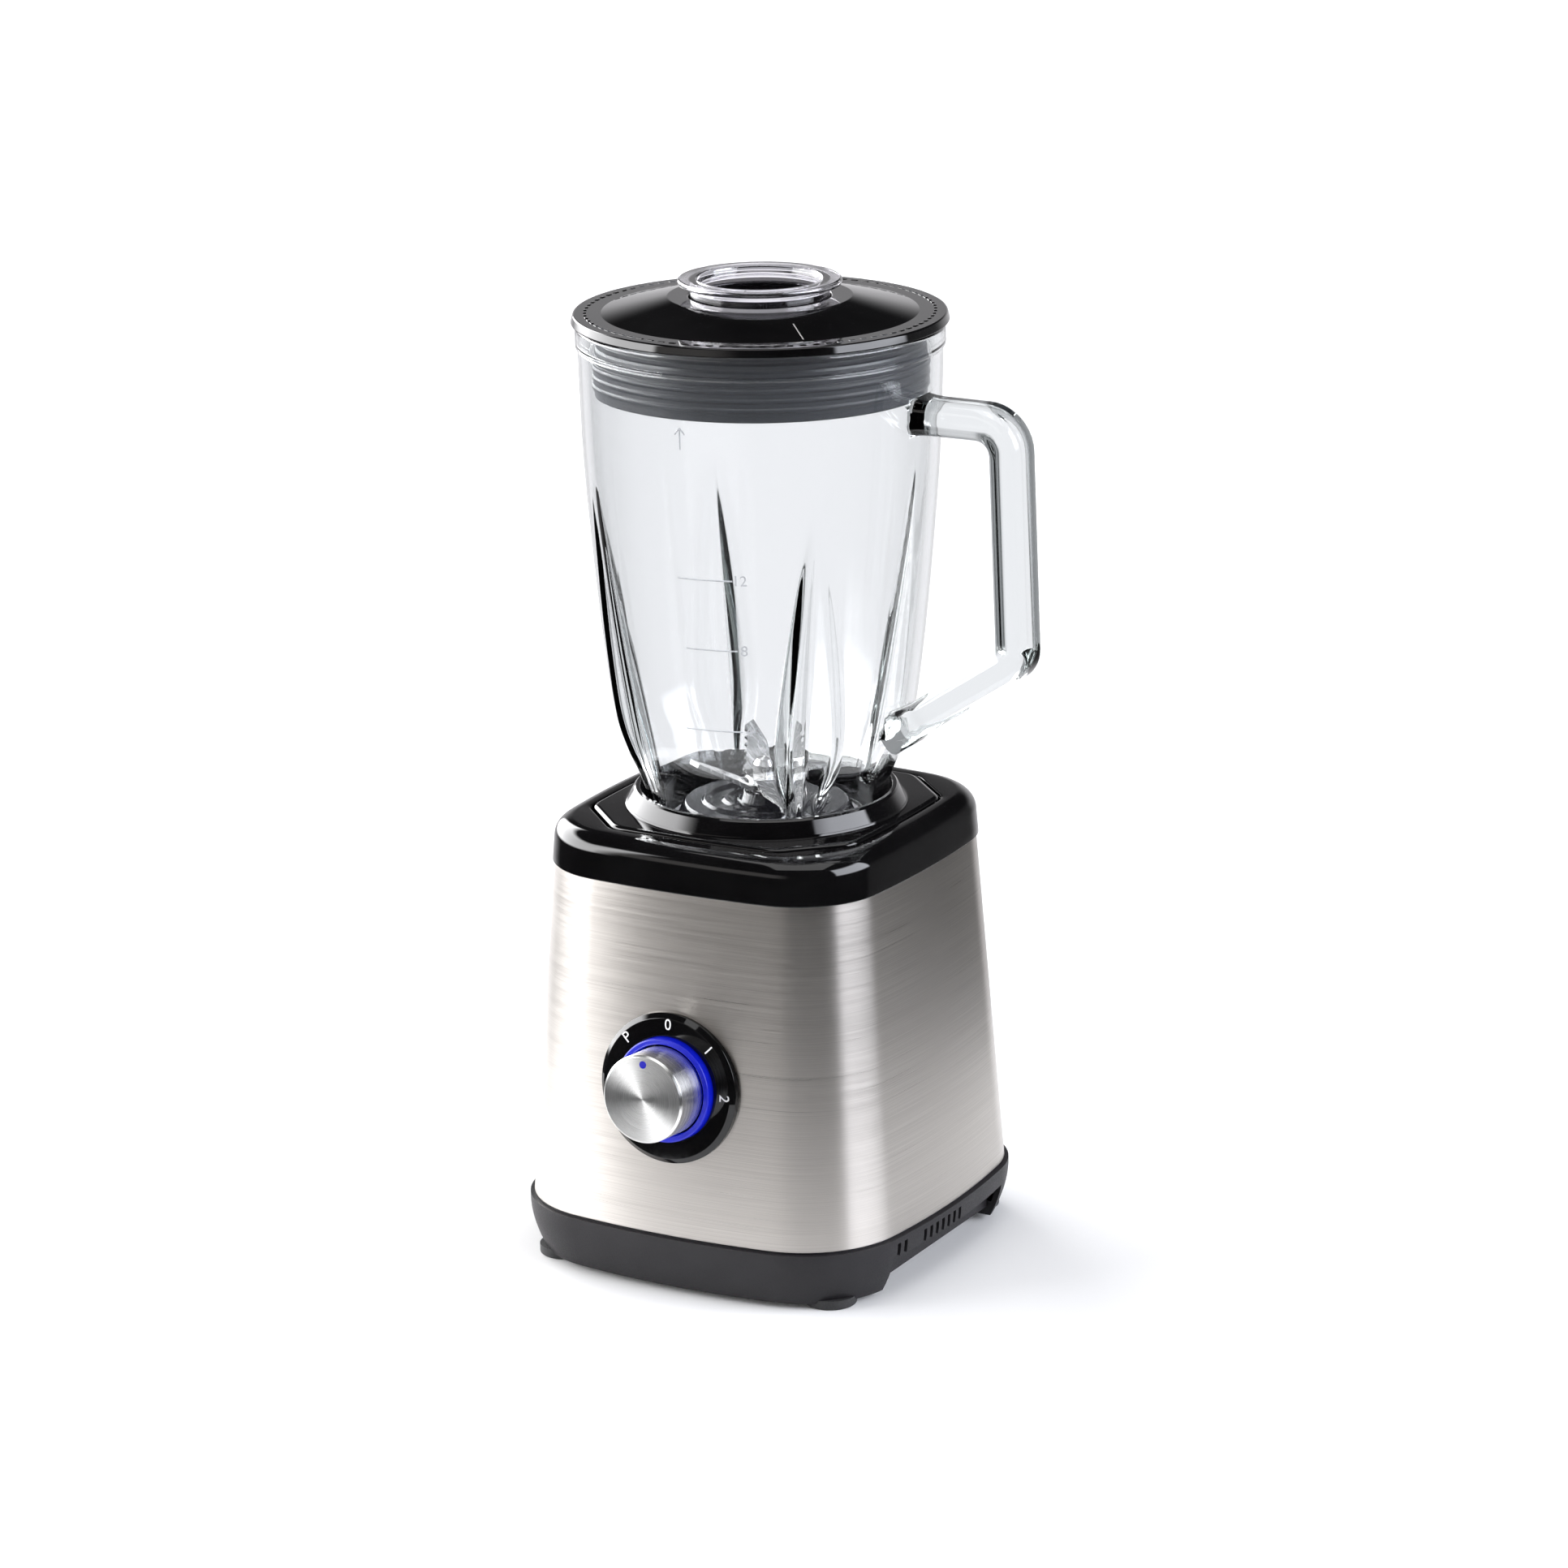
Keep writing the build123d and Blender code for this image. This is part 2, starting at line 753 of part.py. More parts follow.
def make_commutator():
    shape = tube(commutator_radius, shaft_radius, commutator_z0, commutator_z1)
    bars = 2 * slot_count
    for step in range(bars):
        slit = slab(commutator_radius - slit_depth, commutator_radius + 1, -slit_half, slit_half,
                    commutator_z0 - 1, commutator_z1 - 2)
        shape = shape - Rot(0, 0, step * 360 / bars) * slit
    return shape


def make_fan():
    top = fan_z0 + fan_height
    fan = tube(fan_hub, shaft_radius, fan_z0, top)
    fan = fan + tube(fan_radius, shaft_radius, top - fan_plate, top)
    for step in range(fan_blades):
        vane = slab(fan_hub - 1, fan_radius - overlap, -vane_half, vane_half, fan_z0, top - 1.0)
        fan = fan + Rot(0, 0, step * 360 / fan_blades) * Pos(0, vane_aside, 0) * vane
    return fan - rod(shaft_radius, fan_z0 - 1, top + 1)


def star(radius, depth):
    """Round-toothed outline: a circle with evenly spaced half-round teeth."""
    face = Circle(radius - depth)
    tooth = (radius - depth) * pi / teeth * tooth_fill
    for step in range(teeth):
        lobe = SlotCenterToCenter(2 * depth, 2 * tooth)
        face = face + Rot(0, 0, step * 360 / teeth) * Pos(radius - depth - tooth, 0) * lobe
    return face


def make_drive_coupling():
    shape = extrude(Pos(0, 0, drive_z0) * star(drive_radius, tooth_depth), drive_z1 - drive_z0)
    shape = shape - rod(shaft_radius, drive_z0 - 1, shaft_z1)
    return shape


def make_retaining_clip():
    z = upper_bracket_z + bracket_plate + clip_rise
    return tube(shaft_radius + clip_width, shaft_radius, z, z + clip_thick)


# ------------------------------------------------------------------- dial

def dial_frame():
    """Place of the dial: on the front face, square to its lean."""
    share = (dial_z - steel_z0) / (steel_z1 - steel_z0)
    y = -between(base_half_y, top_half_y, share)
    lean = degrees(atan2(base_half_y - top_half_y, steel_z1 - steel_z0))
    return Pos(0, y, dial_z) * Rot(90 - lean, 0, 0)


def make_dial_bezel():
    disc = turned([
        (spindle_radius + spindle_hole, -bezel_depth),
        (bezel_boss, -bezel_depth),
        (bezel_boss, -1.5),
        (bezel_radius, -1.5),
        (bezel_radius, bezel_edge),
        (bezel_radius - bezel_bevel, bezel_face),
        (spindle_radius + spindle_hole, bezel_face),
    ])
    disc = disc - tube(ring_radius, ring_radius - ring_wall, -bezel_depth - 1, bezel_face + 1)
    bridge = tube(ring_radius + overlap, ring_radius - ring_wall - overlap, -ring_seat, ring_seat)
    disc = disc + bridge
    board_top = -bezel_depth + led_thick + ring_seat
    disc = disc - tube(ring_radius + 2.0, spindle_radius + 5.0, -bezel_depth - 1, board_top)
    disc = dial_frame() * disc
    lip = housing_block(dial_z - 45, dial_z + 45, -0.05)
    keep = dial_frame() * rod(bezel_boss, -bezel_depth - 1, bezel_face + 1)
    return disc - (lip - keep)


def make_light_ring():
    shape = tube(ring_radius, ring_radius - ring_wall, ring_seat, ring_face)
    shape = fillet(shape.edges().group_by(Axis.Z)[-1], ring_seat)
    return dial_frame() * shape


def make_led_board():
    z1 = -bezel_depth + led_thick + led_gap
    board = tube(ring_radius + 1.5, spindle_radius + 5.5, z1 - led_thick, z1)
    return dial_frame() * board


def make_rotary_switch():
    z1 = -bezel_depth
    body = slab(-switch_half, switch_half, -switch_half, switch_half, z1 - switch_depth, z1)
    body = fillet(body.edges().filter_by(Axis.Z), switch_round)
    for side in (-1, 1):
        ear = slab(-ear_half, ear_half, -ear_long, ear_long, z1 - ear_thick, z1)
        hole = rod(screw_radius, z1 - ear_thick - 1, z1 + 1)
        body = body + Pos(0, side * (switch_half + ear_out)) * ear
        body = body - Pos(0, side * (switch_half + ear_out)) * hole
    low = z1 - switch_depth
    for x in pin_row:
        body = body + slab(x - pin_half, x + pin_half, -head_slot / 2, head_slot / 2,
                           low - pin_long, low + 1)
    body = body - rod(spindle_radius + run_fit, z1 - switch_depth + switch_round * 2, z1 + 1)
    return dial_frame() * body


def make_switch_screws():
    z1 = -bezel_depth
    one = screw(z1 - ear_thick, z1, 0.85)
    return [dial_frame() * Pos(0, side * (switch_half + ear_out)) * one for side in (-1, 1)]


def make_spindle():
    low = -bezel_depth - switch_depth + switch_round * 2 + loose_fit
    shape = rod(spindle_radius, low, knob_face - knob_roof)
    flat = slab(spindle_flat, 2 * spindle_radius, -spindle_radius, spindle_radius,
                bezel_face + 1.0, knob_face)
    return dial_frame() * (shape - flat)


def make_knob_core():
    roof = knob_face - knob_roof
    shape = rod(knob_radius - knob_wall, knob_skirt - knob_edge, knob_face - knob_wall - led_gap)
    shape = shape - tube(knob_radius - knob_core_wall, spindle_radius + knob_hub, knob_skirt - 2, roof - 1.0)
    bore = rod(spindle_radius, knob_skirt - 2, roof)
    bore = bore - slab(spindle_flat, 2 * spindle_radius, -spindle_radius, spindle_radius, 0, knob_face)
    shape = shape - bore
    shape = shape - Pos(0, marker_orbit) * rod(marker_radius, knob_face - marker_length, knob_face)
    return dial_frame() * shape


def make_knob_cap():
    shape = rod(knob_radius, knob_skirt, knob_face)
    shape = chamfer(shape.edges().group_by(Axis.Z)[-1], knob_edge)
    shape = shape - rod(knob_radius - knob_wall, knob_skirt - 1, knob_face - knob_wall)
    shape = shape - Pos(0, marker_orbit) * rod(marker_radius, knob_skirt, knob_face + 1)
    return dial_frame() * shape


def make_knob_marker():
    pin = rod(marker_radius, knob_face - marker_length, knob_face + marker_proud)
    return dial_frame() * Pos(0, marker_orbit) * pin


# -------------------------------------------------------------------- jug

def plate_outline(grow):
    """Square plate with long chamfers, softened at every corner."""
    half = plate_half + grow
    c = half - plate_sag
    sides = [
        ThreePointArc((-c, -c), (0, -half), (c, -c)),
        ThreePointArc((c, -c), (half, 0), (c, c)),
        ThreePointArc((c, c), (0, half), (-c, c)),
        ThreePointArc((-c, c), (-half, 0), (-c, -c)),
    ]
    face = make_face(Wire(sides).edges())
    face = chamfer(face.vertices(), plate_chamfer)
    return fillet(face.vertices(), plate_soften)


def make_jar_base():
    plate = extrude(Pos(0, 0, seat_z) * plate_outline(0), plate_top - seat_z)
    plate = fillet(plate.faces().sort_by(Axis.Z)[-1].edges(), plate_round)
    collar = turned([
        (neck_radius - 2, plate_top - 1),
        (collar_base, plate_top - 1),
        (collar_base, plate_top),
        (collar_top, collar_z - collar_edge),
        (collar_top - collar_edge, collar_z),
        (collar_mouth, collar_z),
        (neck_radius - 2, collar_z - collar_sink),
    ])
    shape = plate + collar + rod(boss_radius, boss_z0, seat_z + overlap)
    ledge_z = neck_z0 - gasket_thick - holder_flange
    shape = shape - rod(neck_radius + neck_gap, ledge_z, shoulder[0][0] - 2.0)
    shape = shape - turned([
        (0, shoulder[0][0] - 2.5),
        (neck_radius + neck_gap, shoulder[0][0] - 2.5),
        (collar_mouth, collar_z),
        (collar_mouth, collar_z + 1),
        (0, collar_z + 1),
    ])
    return shape - rod(boss_bore, boss_z0 - 1, ledge_z + 1)


def wall_face(offset, z_top):
    """Half section of the space inside the glass, or of its outside at offset 0."""
    low = shoulder[0]
    inner_neck = neck_radius - offset
    upward = [(low[1] - offset, low[0])] + [(r - offset, z) for z, r in shoulder[1:]]
    upward = upward + [(r - offset, z) for z, r in body_line]
    curve = Spline([(r, 0, z) for r, z in upward])
    end = upward[-1]
    z_low = neck_z0 - (1.0 if offset else 0.0)
    tail = Polyline([(end[0], 0, end[1]), (end[0], 0, z_top), (0, 0, z_top), (0, 0, z_low),
                     (inner_neck, 0, z_low), (upward[0][0], 0, upward[0][1])])
    return make_face(curve.edges() + tail.edges())


def rib_wedge(sink, angle):
    """V-shaped prism that leans with the wall and runs out through it near its top."""
    low_r = rib_low_radius - sink
    high_r = rib_high_radius - sink
    nose = make_face(Polyline([(0, 0), (rib_spread, -rib_spread), (rib_spread, rib_spread)],
                              close=True).edges())
    nose = fillet(nose.vertices().sort_by(Axis.X)[0], rib_nose)
    run = Vector(high_r - low_r, 0, rib_top - rib_bottom)
    wedge = extrude(Pos(low_r, 0, rib_bottom) * nose, run.length, dir=run.normalized())
    return Rot(0, 0, angle) * wedge


def grip_path():
    points = [(grip_end_x, 0, grip_top_z), (grip_x_top, 0, grip_top_z),
              (grip_x_low, 0, grip_low_z), (grip_end_x, 0, grip_end_z)]
    return FilletPolyline(points, radius=[grip_bend, grip_low_bend])


def make_glass_jar():
    """One pressed piece: body, thick rim band, ribs, neck and handle."""
    outer = revolve(wall_face(0.0, rim_z), Axis.Z)
    band = tube(body_line[-1][1] + rim_proud, neck_radius, rim_z - rim_band, rim_z)
    band = chamfer(band.edges().group_by(Axis.Z)[0].sort_by(SortBy.RADIUS)[-1], rim_proud * 0.9)
    path = grip_path()
    section = RectangleRounded(grip_deep, grip_wide, grip_round)
    start = Plane(origin=path @ 0, x_dir=(0, 0, 1), z_dir=path % 0)
    grip = sweep(start * section, path=path)
    pads = [
        Pos(body_line[2][1] - pad_sink, 0, grip_top_z) * Rot(0, 90, 0) * Cylinder(pad_radius, pad_thick),
        Pos(shoulder[3][1] - pad_sink / 3, 0, grip_end_z + 2) * Rot(0, low_pad_tilt, 0)
        * Cylinder(pad_radius + 1, pad_thick),
    ]
    pads = [fillet(pad.edges(), pad_round) for pad in pads]
    shell = outer + band + grip + pads[0] + pads[1]
    cavity = revolve(wall_face(glass_wall, rim_z + 1), Axis.Z)
    for step in range(rib_count):
        angle = rib_angle + step * 360 / rib_count
        shell = shell - rib_wedge(0.0, angle)
        cavity = cavity - rib_wedge(rib_ridge, angle)
    return shell - cavity


def make_jar_gasket():
    return tube(neck_radius - gasket_gap, gasket_inner, neck_z0 - gasket_thick, neck_z0)


def make_blade_holder():
    z0 = neck_z0 - gasket_thick - holder_flange
    inner = dome_radius - dome_wall
    profile = [
        (bush_radius, hub_z0), (hub_radius, hub_z0), (hub_radius, dome_z - dome_wall),
        (inner - dome_slope, dome_z - dome_wall), (inner, dome_z - dome_shoulder - 1.0),
        (inner, z0), (holder_radius, z0), (holder_radius, z0 + holder_flange),
        (dome_radius, z0 + holder_flange), (dome_radius, dome_z - dome_shoulder),
        (dome_radius - dome_slope, dome_z), (hub_radius + 2.0, dome_z), (hub_radius, hub_z1),
        (bush_radius, hub_z1),
    ]
    return turned(profile)


def make_blade_bushing():
    return tube(bush_radius, blade_shaft_radius + run_fit, hub_z0, hub_z1 - seal_height)


def make_shaft_seal():
    return tube(bush_radius, blade_shaft_radius + run_fit, hub_z1 - seal_height, hub_z1)


# ----------------------------------------------------------------- blades

def make_blade_shaft():
    shaft = rod(blade_shaft_radius, driven_z0 + 10.0, blade_shaft_z1)
    return shaft + tube(blade_shaft_radius + 2.0, blade_shaft_radius - 1, hub_z1 + 0.3, blade_z)


def make_driven_coupling():
    top = drive_z1 + driven_roof + driven_web
    shape = rod(driven_radius, driven_z0, top)
    socket = extrude(Pos(0, 0, driven_z0 - 1) * star(drive_radius + mesh_gap, tooth_depth),
                     drive_z1 + driven_roof - driven_z0 + 1)
    shape = shape - socket
    return shape - rod(blade_shaft_radius, driven_z0, top + 1)


def blade_arm(reach, lean):
    """One arm: a tapering strip, bent at its root and ground along one edge."""
    root = blade_bend - overlap
    outline = make_face(Polyline([
        (root, -blade_half), (reach * 0.55, -blade_half * 0.9), (reach, -blade_tip),
        (reach * 0.93, blade_tip + blade_sweep), (reach * 0.5, blade_half * 0.7), (root, blade_half),
    ], close=True).edges())
    arm = extrude(outline, blade_thick)
    return Pos(blade_bend, 0, 0) * Rot(0, -lean, 0) * Pos(-blade_bend, 0, 0) * arm


def blade_pair(z, reaches, leans, serrated):
    width = 2 * blade_half
    hub = extrude(Pos(0, 0, z) * RectangleRounded(2 * blade_bend + 3.0, width, 3.0), blade_thick)
    for side, reach, lean in zip((0, 180), reaches, leans):
        arm = blade_arm(reach, lean)
        bend = Pos(blade_bend, 0, 0) * Rot(0, -lean, 0)
        for step in range(tooth_steps if serrated else 0):
            x = reach * (0.42 + 0.1 * step) - blade_bend
            y = blade_half * 0.86 - step * 0.8
            arm = arm - bend * Pos(x, y, 0) * Cylinder(tooth_radius, blade_half)
        hub = hub + Rot(0, 0, side) * Pos(0, 0, z) * arm
    return hub - rod(blade_shaft_radius, z - 1, z + 10)


def make_lower_blade():
    return Rot(0, 0, lower_turn) * blade_pair(blade_z, lower_reach, lower_leans, False)


def make_blade_spacer():
    z0 = blade_z + blade_thick
    return tube(spacer_radius, blade_shaft_radius, z0, z0 + spacer_height)


def make_upper_blade():
    z0 = blade_z + blade_thick + spacer_height
    return Rot(0, 0, upper_turn) * blade_pair(z0, upper_reach, upper_leans, True)


def make_blade_nut():
    z0 = blade_z + 2 * blade_thick + spacer_height
    top = z0 + nut_height
    wide, narrow, shoulder_rise, rise = nut_cap
    nut = extrude(Pos(0, 0, z0) * RegularPolygon(nut_radius, 6), nut_height)
    cap = turned([(0, top), (wide, top), (narrow, top + shoulder_rise), (0, top + rise)])
    return nut + cap - rod(blade_shaft_radius, z0 - 1, blade_shaft_z1)


# ---------------------------------------------------------------- lid, cap

def make_lid():
    top = rim_z + lid_flange
    under = lid_crown_z - lid_wall
    lid = turned([
        (lid_hole, lid_tube_z), (lid_tube, lid_tube_z), (lid_tube, under), (lid_crown, under),
        (lid_ring - 1.0, top - lid_wall), (plug_radius - plug_wall, top - lid_wall),
        (plug_radius - plug_wall, plug_z), (plug_radius, plug_z), (plug_radius, rim_z),
        (lid_radius, rim_z), (lid_top_radius, top), (lid_ring, top),
        (lid_crown, lid_crown_z), (lid_hole, lid_crown_z),
    ])
    return lid


def make_lid_seal():
    points = [(plug_radius, seal_z0), (band_seal, seal_z0)]
    pitch = (seal_z1 - seal_z0) / seal_ribs
    for step in range(seal_ribs):
        z = seal_z0 + pitch * (step + 0.5)
        points = points + [(band_seal, z - seal_rib_root), (rib_seal, z - seal_rib_tip),
                           (rib_seal, z + seal_rib_tip), (band_seal, z + seal_rib_root)]
    return turned(points + [(band_seal, seal_z1), (plug_radius, seal_z1)])


def make_measuring_cap():
    low = cap_top - cap_flange
    shape = turned([
        (0, cap_bottom), (cap_body - cap_cone, cap_bottom), (cap_body, cap_bottom + cap_cone),
        (cap_body, low), (cap_radius, low),
        (cap_radius, cap_top - cap_edge), (cap_radius - cap_edge, cap_top),
        (cap_mouth, cap_top), (cap_mouth, low), (cap_body - cap_wall, low - 1.6),
        (cap_body - cap_wall, cap_bottom + cap_cone + 1.0),
        (cap_body - cap_wall - cap_cone + 1.0, cap_bottom + cap_wall), (0, cap_bottom + cap_wall),
    ])
    for side in (-1, 1):
        lug = slab(cap_body - 1.0, cap_body + cap_lug, -cap_lug_half, cap_lug_half,
                   lid_crown_z, low + overlap)
        shape = shape + Rot(0, 0, 0 if side > 0 else 180) * lug
    return shape


# --------------------------------------------------------------- interlock

def pin_place():
    angle = radians(pin_angle)
    return Pos(pin_orbit * cos(angle), pin_orbit * sin(angle)) * Rot(0, 0, pin_angle)


def make_interlock_pin():
    pin = rod(pin_radius, pin_z0, seat_z)
    pin = pin + rod(pin_flange, pin_flange_z, pin_flange_z + pin_flange_height)
    return pin_place() * pin


def make_interlock_spring():
    length = pin_flange_z - micro_z1
    radius = pin_flange - spring_wire - loose_fit
    spring = coil_spring(radius, spring_wire / 2, length - spring_wire - loose_fit, spring_turns)
    return pin_place() * Pos(0, 0, micro_z1 + (spring_wire + loose_fit / 2) / 2) * spring


def make_interlock_switch():
    half = micro_thick / 2
    body = slab(-half, half, -micro_half, micro_half, micro_z0, micro_z1)
    body = body + rod(micro_button, micro_z1 - overlap, pin_z0 - loose_fit)
    for y in micro_pins:
        leg = slab(-slit_half, slit_half, -micro_button, micro_button, -micro_pin_long, overlap)
        body = body + Pos(0, y, micro_z0) * leg
    return pin_place() * body


# ---------------------------------------------------------- small electrics

def gland_place():
    return Pos(0, base_half_y + pan_rim_proud - gland_sink, gland_z) * Rot(-90, 0, 0)


def make_gland():
    """Hollow cord inlet in the rear wall, without its cord."""
    gland = turned([
        (gland_bore, -gland_length), (gland_radius - loose_fit, -gland_length),
        (gland_radius - loose_fit, 0), (gland_flange, 0), (gland_flange - 1.0, gland_nose - 1.0),
        (gland_bore + gland_sink, gland_nose), (gland_bore, gland_nose),
    ])
    return gland_place() * gland


def make_capacitor():
    z0 = pan_floor_z + pan_floor
    box = slab(*capacitor_x, *parts_y, z0, z0 + capacitor_height)
    return fillet(box.edges().filter_by(Axis.Z), capacitor_round)


def make_terminal_block():
    z0 = pan_floor_z + pan_floor
    block = slab(*terminal_x, *parts_y, z0, z0 + terminal_height)
    for x in terminal_holes:
        hole = rod(terminal_bore, z0 + terminal_height / 2, z0 + terminal_height + 1)
        block = block - Pos(x, sum(parts_y) / 2) * hole
    return block


node_makers = {
    "base_pan": make_base_pan,
    "rubber_feet": make_feet,
    "steel_sleeve": make_steel_sleeve,
    "top_cover": make_top_cover,
    "drip_seal": make_drip_seal,
    "inner_chassis": make_chassis,
    "stator_core": make_stator_core,
    "stator_coils": make_stator_coils,
    "upper_bracket": make_upper_bracket,
    "lower_bracket": make_lower_bracket,
    "upper_bearing": lambda: make_bearing(upper_bracket_z + bracket_plate - bearing_height),
    "lower_bearing": lambda: make_bearing(lower_bracket_z - hub_drop),
    "rubber_dampers": make_dampers,
    "motor_screws": make_motor_screws,
    "cover_screws": make_cover_screws,
    "pan_screws": make_pan_screws,
    "brush_holders": make_brush_holders,
    "carbon_brushes": make_brushes,
    "brush_springs": make_brush_springs,
    "fan_shroud": make_fan_shroud,
    "cord_gland": make_gland,
    "noise_capacitor": make_capacitor,
    "terminal_block": make_terminal_block,
    "rotary_switch": make_rotary_switch,
    "switch_screws": make_switch_screws,
    "led_board": make_led_board,
    "dial_bezel": make_dial_bezel,
    "light_ring": make_light_ring,
    "interlock_switch": make_interlock_switch,
    "interlock_pin": make_interlock_pin,
    "interlock_spring": make_interlock_spring,
    "rotor_shaft": make_rotor_shaft,
    "armature_core": make_armature_core,
    "armature_winding": make_armature_winding,
    "commutator": make_commutator,
    "cooling_fan": make_fan,
    "drive_coupling": make_drive_coupling,
    "retaining_clip": make_retaining_clip,
    "switch_spindle": make_spindle,
    "knob_core": make_knob_core,
    "knob_cap": make_knob_cap,
    "knob_marker": make_knob_marker,
    "glass_jar": make_glass_jar,
    "jar_base": make_jar_base,
    "jar_gasket": make_jar_gasket,
    "blade_holder": make_blade_holder,
    "blade_bushing": make_blade_bushing,
    "shaft_seal": make_shaft_seal,
    "blade_shaft": make_blade_shaft,
    "driven_coupling": make_driven_coupling,
    "lower_blade": make_lower_blade,
    "blade_spacer": make_blade_spacer,
    "upper_blade": make_upper_blade,
    "blade_nut": make_blade_nut,
    "lid": make_lid,
    "lid_seal": make_lid_seal,
    "measuring_cap": make_measuring_cap,
}

os.makedirs("parts", exist_ok=True)
for node, maker in node_makers.items():
    made = maker()
    solids = []
    for piece in made if isinstance(made, list) else [made]:
        solids = solids + list(piece.solids())
    shape = solids[0] if len(solids) == 1 else Compound(children=solids)
    export_step(shape, "parts/" + node + ".step")
    print(node, len(solids))
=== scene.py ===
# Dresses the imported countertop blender: fine visible shells, glass, finishes, studio and camera.
import json
from math import atan2, cos, hypot, pi, radians, sin, sqrt, tan
import bmesh
import bpy
from mathutils import Matrix, Vector

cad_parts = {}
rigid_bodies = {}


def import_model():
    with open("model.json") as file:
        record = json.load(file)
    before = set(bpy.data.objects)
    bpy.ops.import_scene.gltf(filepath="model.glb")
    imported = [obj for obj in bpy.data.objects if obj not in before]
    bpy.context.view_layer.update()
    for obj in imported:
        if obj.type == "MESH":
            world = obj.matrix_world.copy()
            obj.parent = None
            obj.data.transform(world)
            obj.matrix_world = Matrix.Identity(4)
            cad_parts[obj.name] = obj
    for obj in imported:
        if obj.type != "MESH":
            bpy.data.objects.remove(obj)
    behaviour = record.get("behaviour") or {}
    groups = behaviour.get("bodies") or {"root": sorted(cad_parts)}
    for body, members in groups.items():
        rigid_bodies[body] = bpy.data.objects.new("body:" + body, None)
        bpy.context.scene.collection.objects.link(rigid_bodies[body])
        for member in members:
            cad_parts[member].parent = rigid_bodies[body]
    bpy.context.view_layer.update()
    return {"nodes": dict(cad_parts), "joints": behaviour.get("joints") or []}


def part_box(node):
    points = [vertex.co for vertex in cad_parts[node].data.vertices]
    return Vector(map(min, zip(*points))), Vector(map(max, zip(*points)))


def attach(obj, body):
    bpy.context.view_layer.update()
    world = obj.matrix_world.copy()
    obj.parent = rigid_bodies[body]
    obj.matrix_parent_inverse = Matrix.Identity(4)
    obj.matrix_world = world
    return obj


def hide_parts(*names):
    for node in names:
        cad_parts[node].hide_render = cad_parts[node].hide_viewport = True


mm = 0.001
onAxis = 0.0005  # radius of a lathe point that closes up to one vertex
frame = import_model()
shelf = bpy.context.scene.collection.objects
nodes = frame["nodes"]
joints = {joint["name"]: joint for joint in frame["joints"]}
print("frame loaded with", len(nodes), "nodes")


# outlines and meshes, all in millimetres until an object is made

def softened(points, closed=True, steps=6):
    # each point is (x, y, radius); its corner becomes an arc of that radius
    out = []
    count = len(points)
    for i, (x, y, radius) in enumerate(points):
        here = Vector((x, y))
        if radius == 0 or (not closed and i in (0, count - 1)):
            out.append(here)
            continue
        before = Vector(points[i - 1][:2]) - here
        after = Vector(points[(i + 1) % count][:2]) - here
        half = before.angle(after) / 2
        reach = min(radius / tan(half), 0.49 * before.length, 0.49 * after.length)
        before.normalize()
        after.normalize()
        centre = here + (before + after).normalized() * (reach / cos(half))
        first = here + before * reach - centre
        last = here + after * reach - centre
        out += [centre + first.slerp(last, step / steps) * first.length for step in range(steps + 1)]
    return out


def spanned(points, pitch):
    # the same line with extra points, no further apart than pitch
    out = [points[0]]
    for a, b in zip(points, points[1:]):
        cuts = max(1, int((b - a).length / pitch))
        out += [a.lerp(b, (cut + 1) / cuts) for cut in range(cuts)]
    return out


def throughPoints(knots, x):
    # smooth curve through (x, y) knots
    slopes = []
    for i in range(len(knots)):
        a, b = knots[max(0, i - 1)], knots[min(len(knots) - 1, i + 1)]
        slopes.append((b[1] - a[1]) / (b[0] - a[0]))
    i = max(j for j in range(len(knots) - 1) if x >= knots[j][0] or j == 0)
    (x0, y0), (x1, y1) = knots[i], knots[i + 1]
    span = x1 - x0
    t = min(1.0, max(0.0, (x - x0) / span))
    hold = (1 + 2 * t) * (1 - t) ** 2 * y0 + t * t * (3 - 2 * t) * y1
    return hold + span * (t * (1 - t) ** 2 * slopes[i] - t * t * (1 - t) * slopes[i + 1])


def softMin(a, b, blend):
    share = max(blend - abs(a - b), 0.0) / blend
    return min(a, b) - share * share * blend / 4


def skin(loops, ends):
    # quads between loops of equal length; ends is "open", "capped" or "ring"
    count = len(loops[0])
    rows = len(loops)
    verts = [point for loop in loops for point in loop]
    faces = []
    for i in range(rows if ends == "ring" else rows - 1):
        a, b = i * count, (i + 1) % rows * count
        for j in range(count):
            k = (j + 1) % count
            faces.append((a + j, a + k, b + k, b + j))
    if ends == "capped":
        faces.append(tuple(range(count)))
        faces.append(tuple(range((rows - 1) * count, rows * count)))
    return verts, faces


def turn(profile, segments=160):
    # loops of a lathe turned about Z from (radius, height) points
    return [[(r * cos(2 * pi * s / segments), r * sin(2 * pi * s / segments), z)
             for s in range(segments)] for r, z in profile]


def makePiece(name, verts, faces, place=None, sharp=38):
    mesh = bpy.data.meshes.new(name)
    mesh.from_pydata([Vector(v) * mm for v in verts], [], faces)
    work = bmesh.new()
    work.from_mesh(mesh)
    bmesh.ops.remove_doubles(work, verts=work.verts, dist=0.002 * mm)
    loose = [edge for edge in work.edges if not edge.link_faces]
    bmesh.ops.delete(work, geom=loose, context="EDGES")
    bmesh.ops.recalc_face_normals(work, faces=work.faces)
    work.to_mesh(mesh)
    work.free()
    piece = bpy.data.objects.new(name, mesh)
    shelf.link(piece)
    if place:
        piece.matrix_world = place
    smooth(piece, sharp)
    return piece


def smooth(piece, sharp=38):
    piece.data.shade_smooth()
    piece.data.set_sharp_from_angle(angle=radians(sharp))
    if "even normals" not in piece.modifiers:
        even = piece.modifiers.new("even normals", "WEIGHTED_NORMAL")
        even.keep_sharp = True


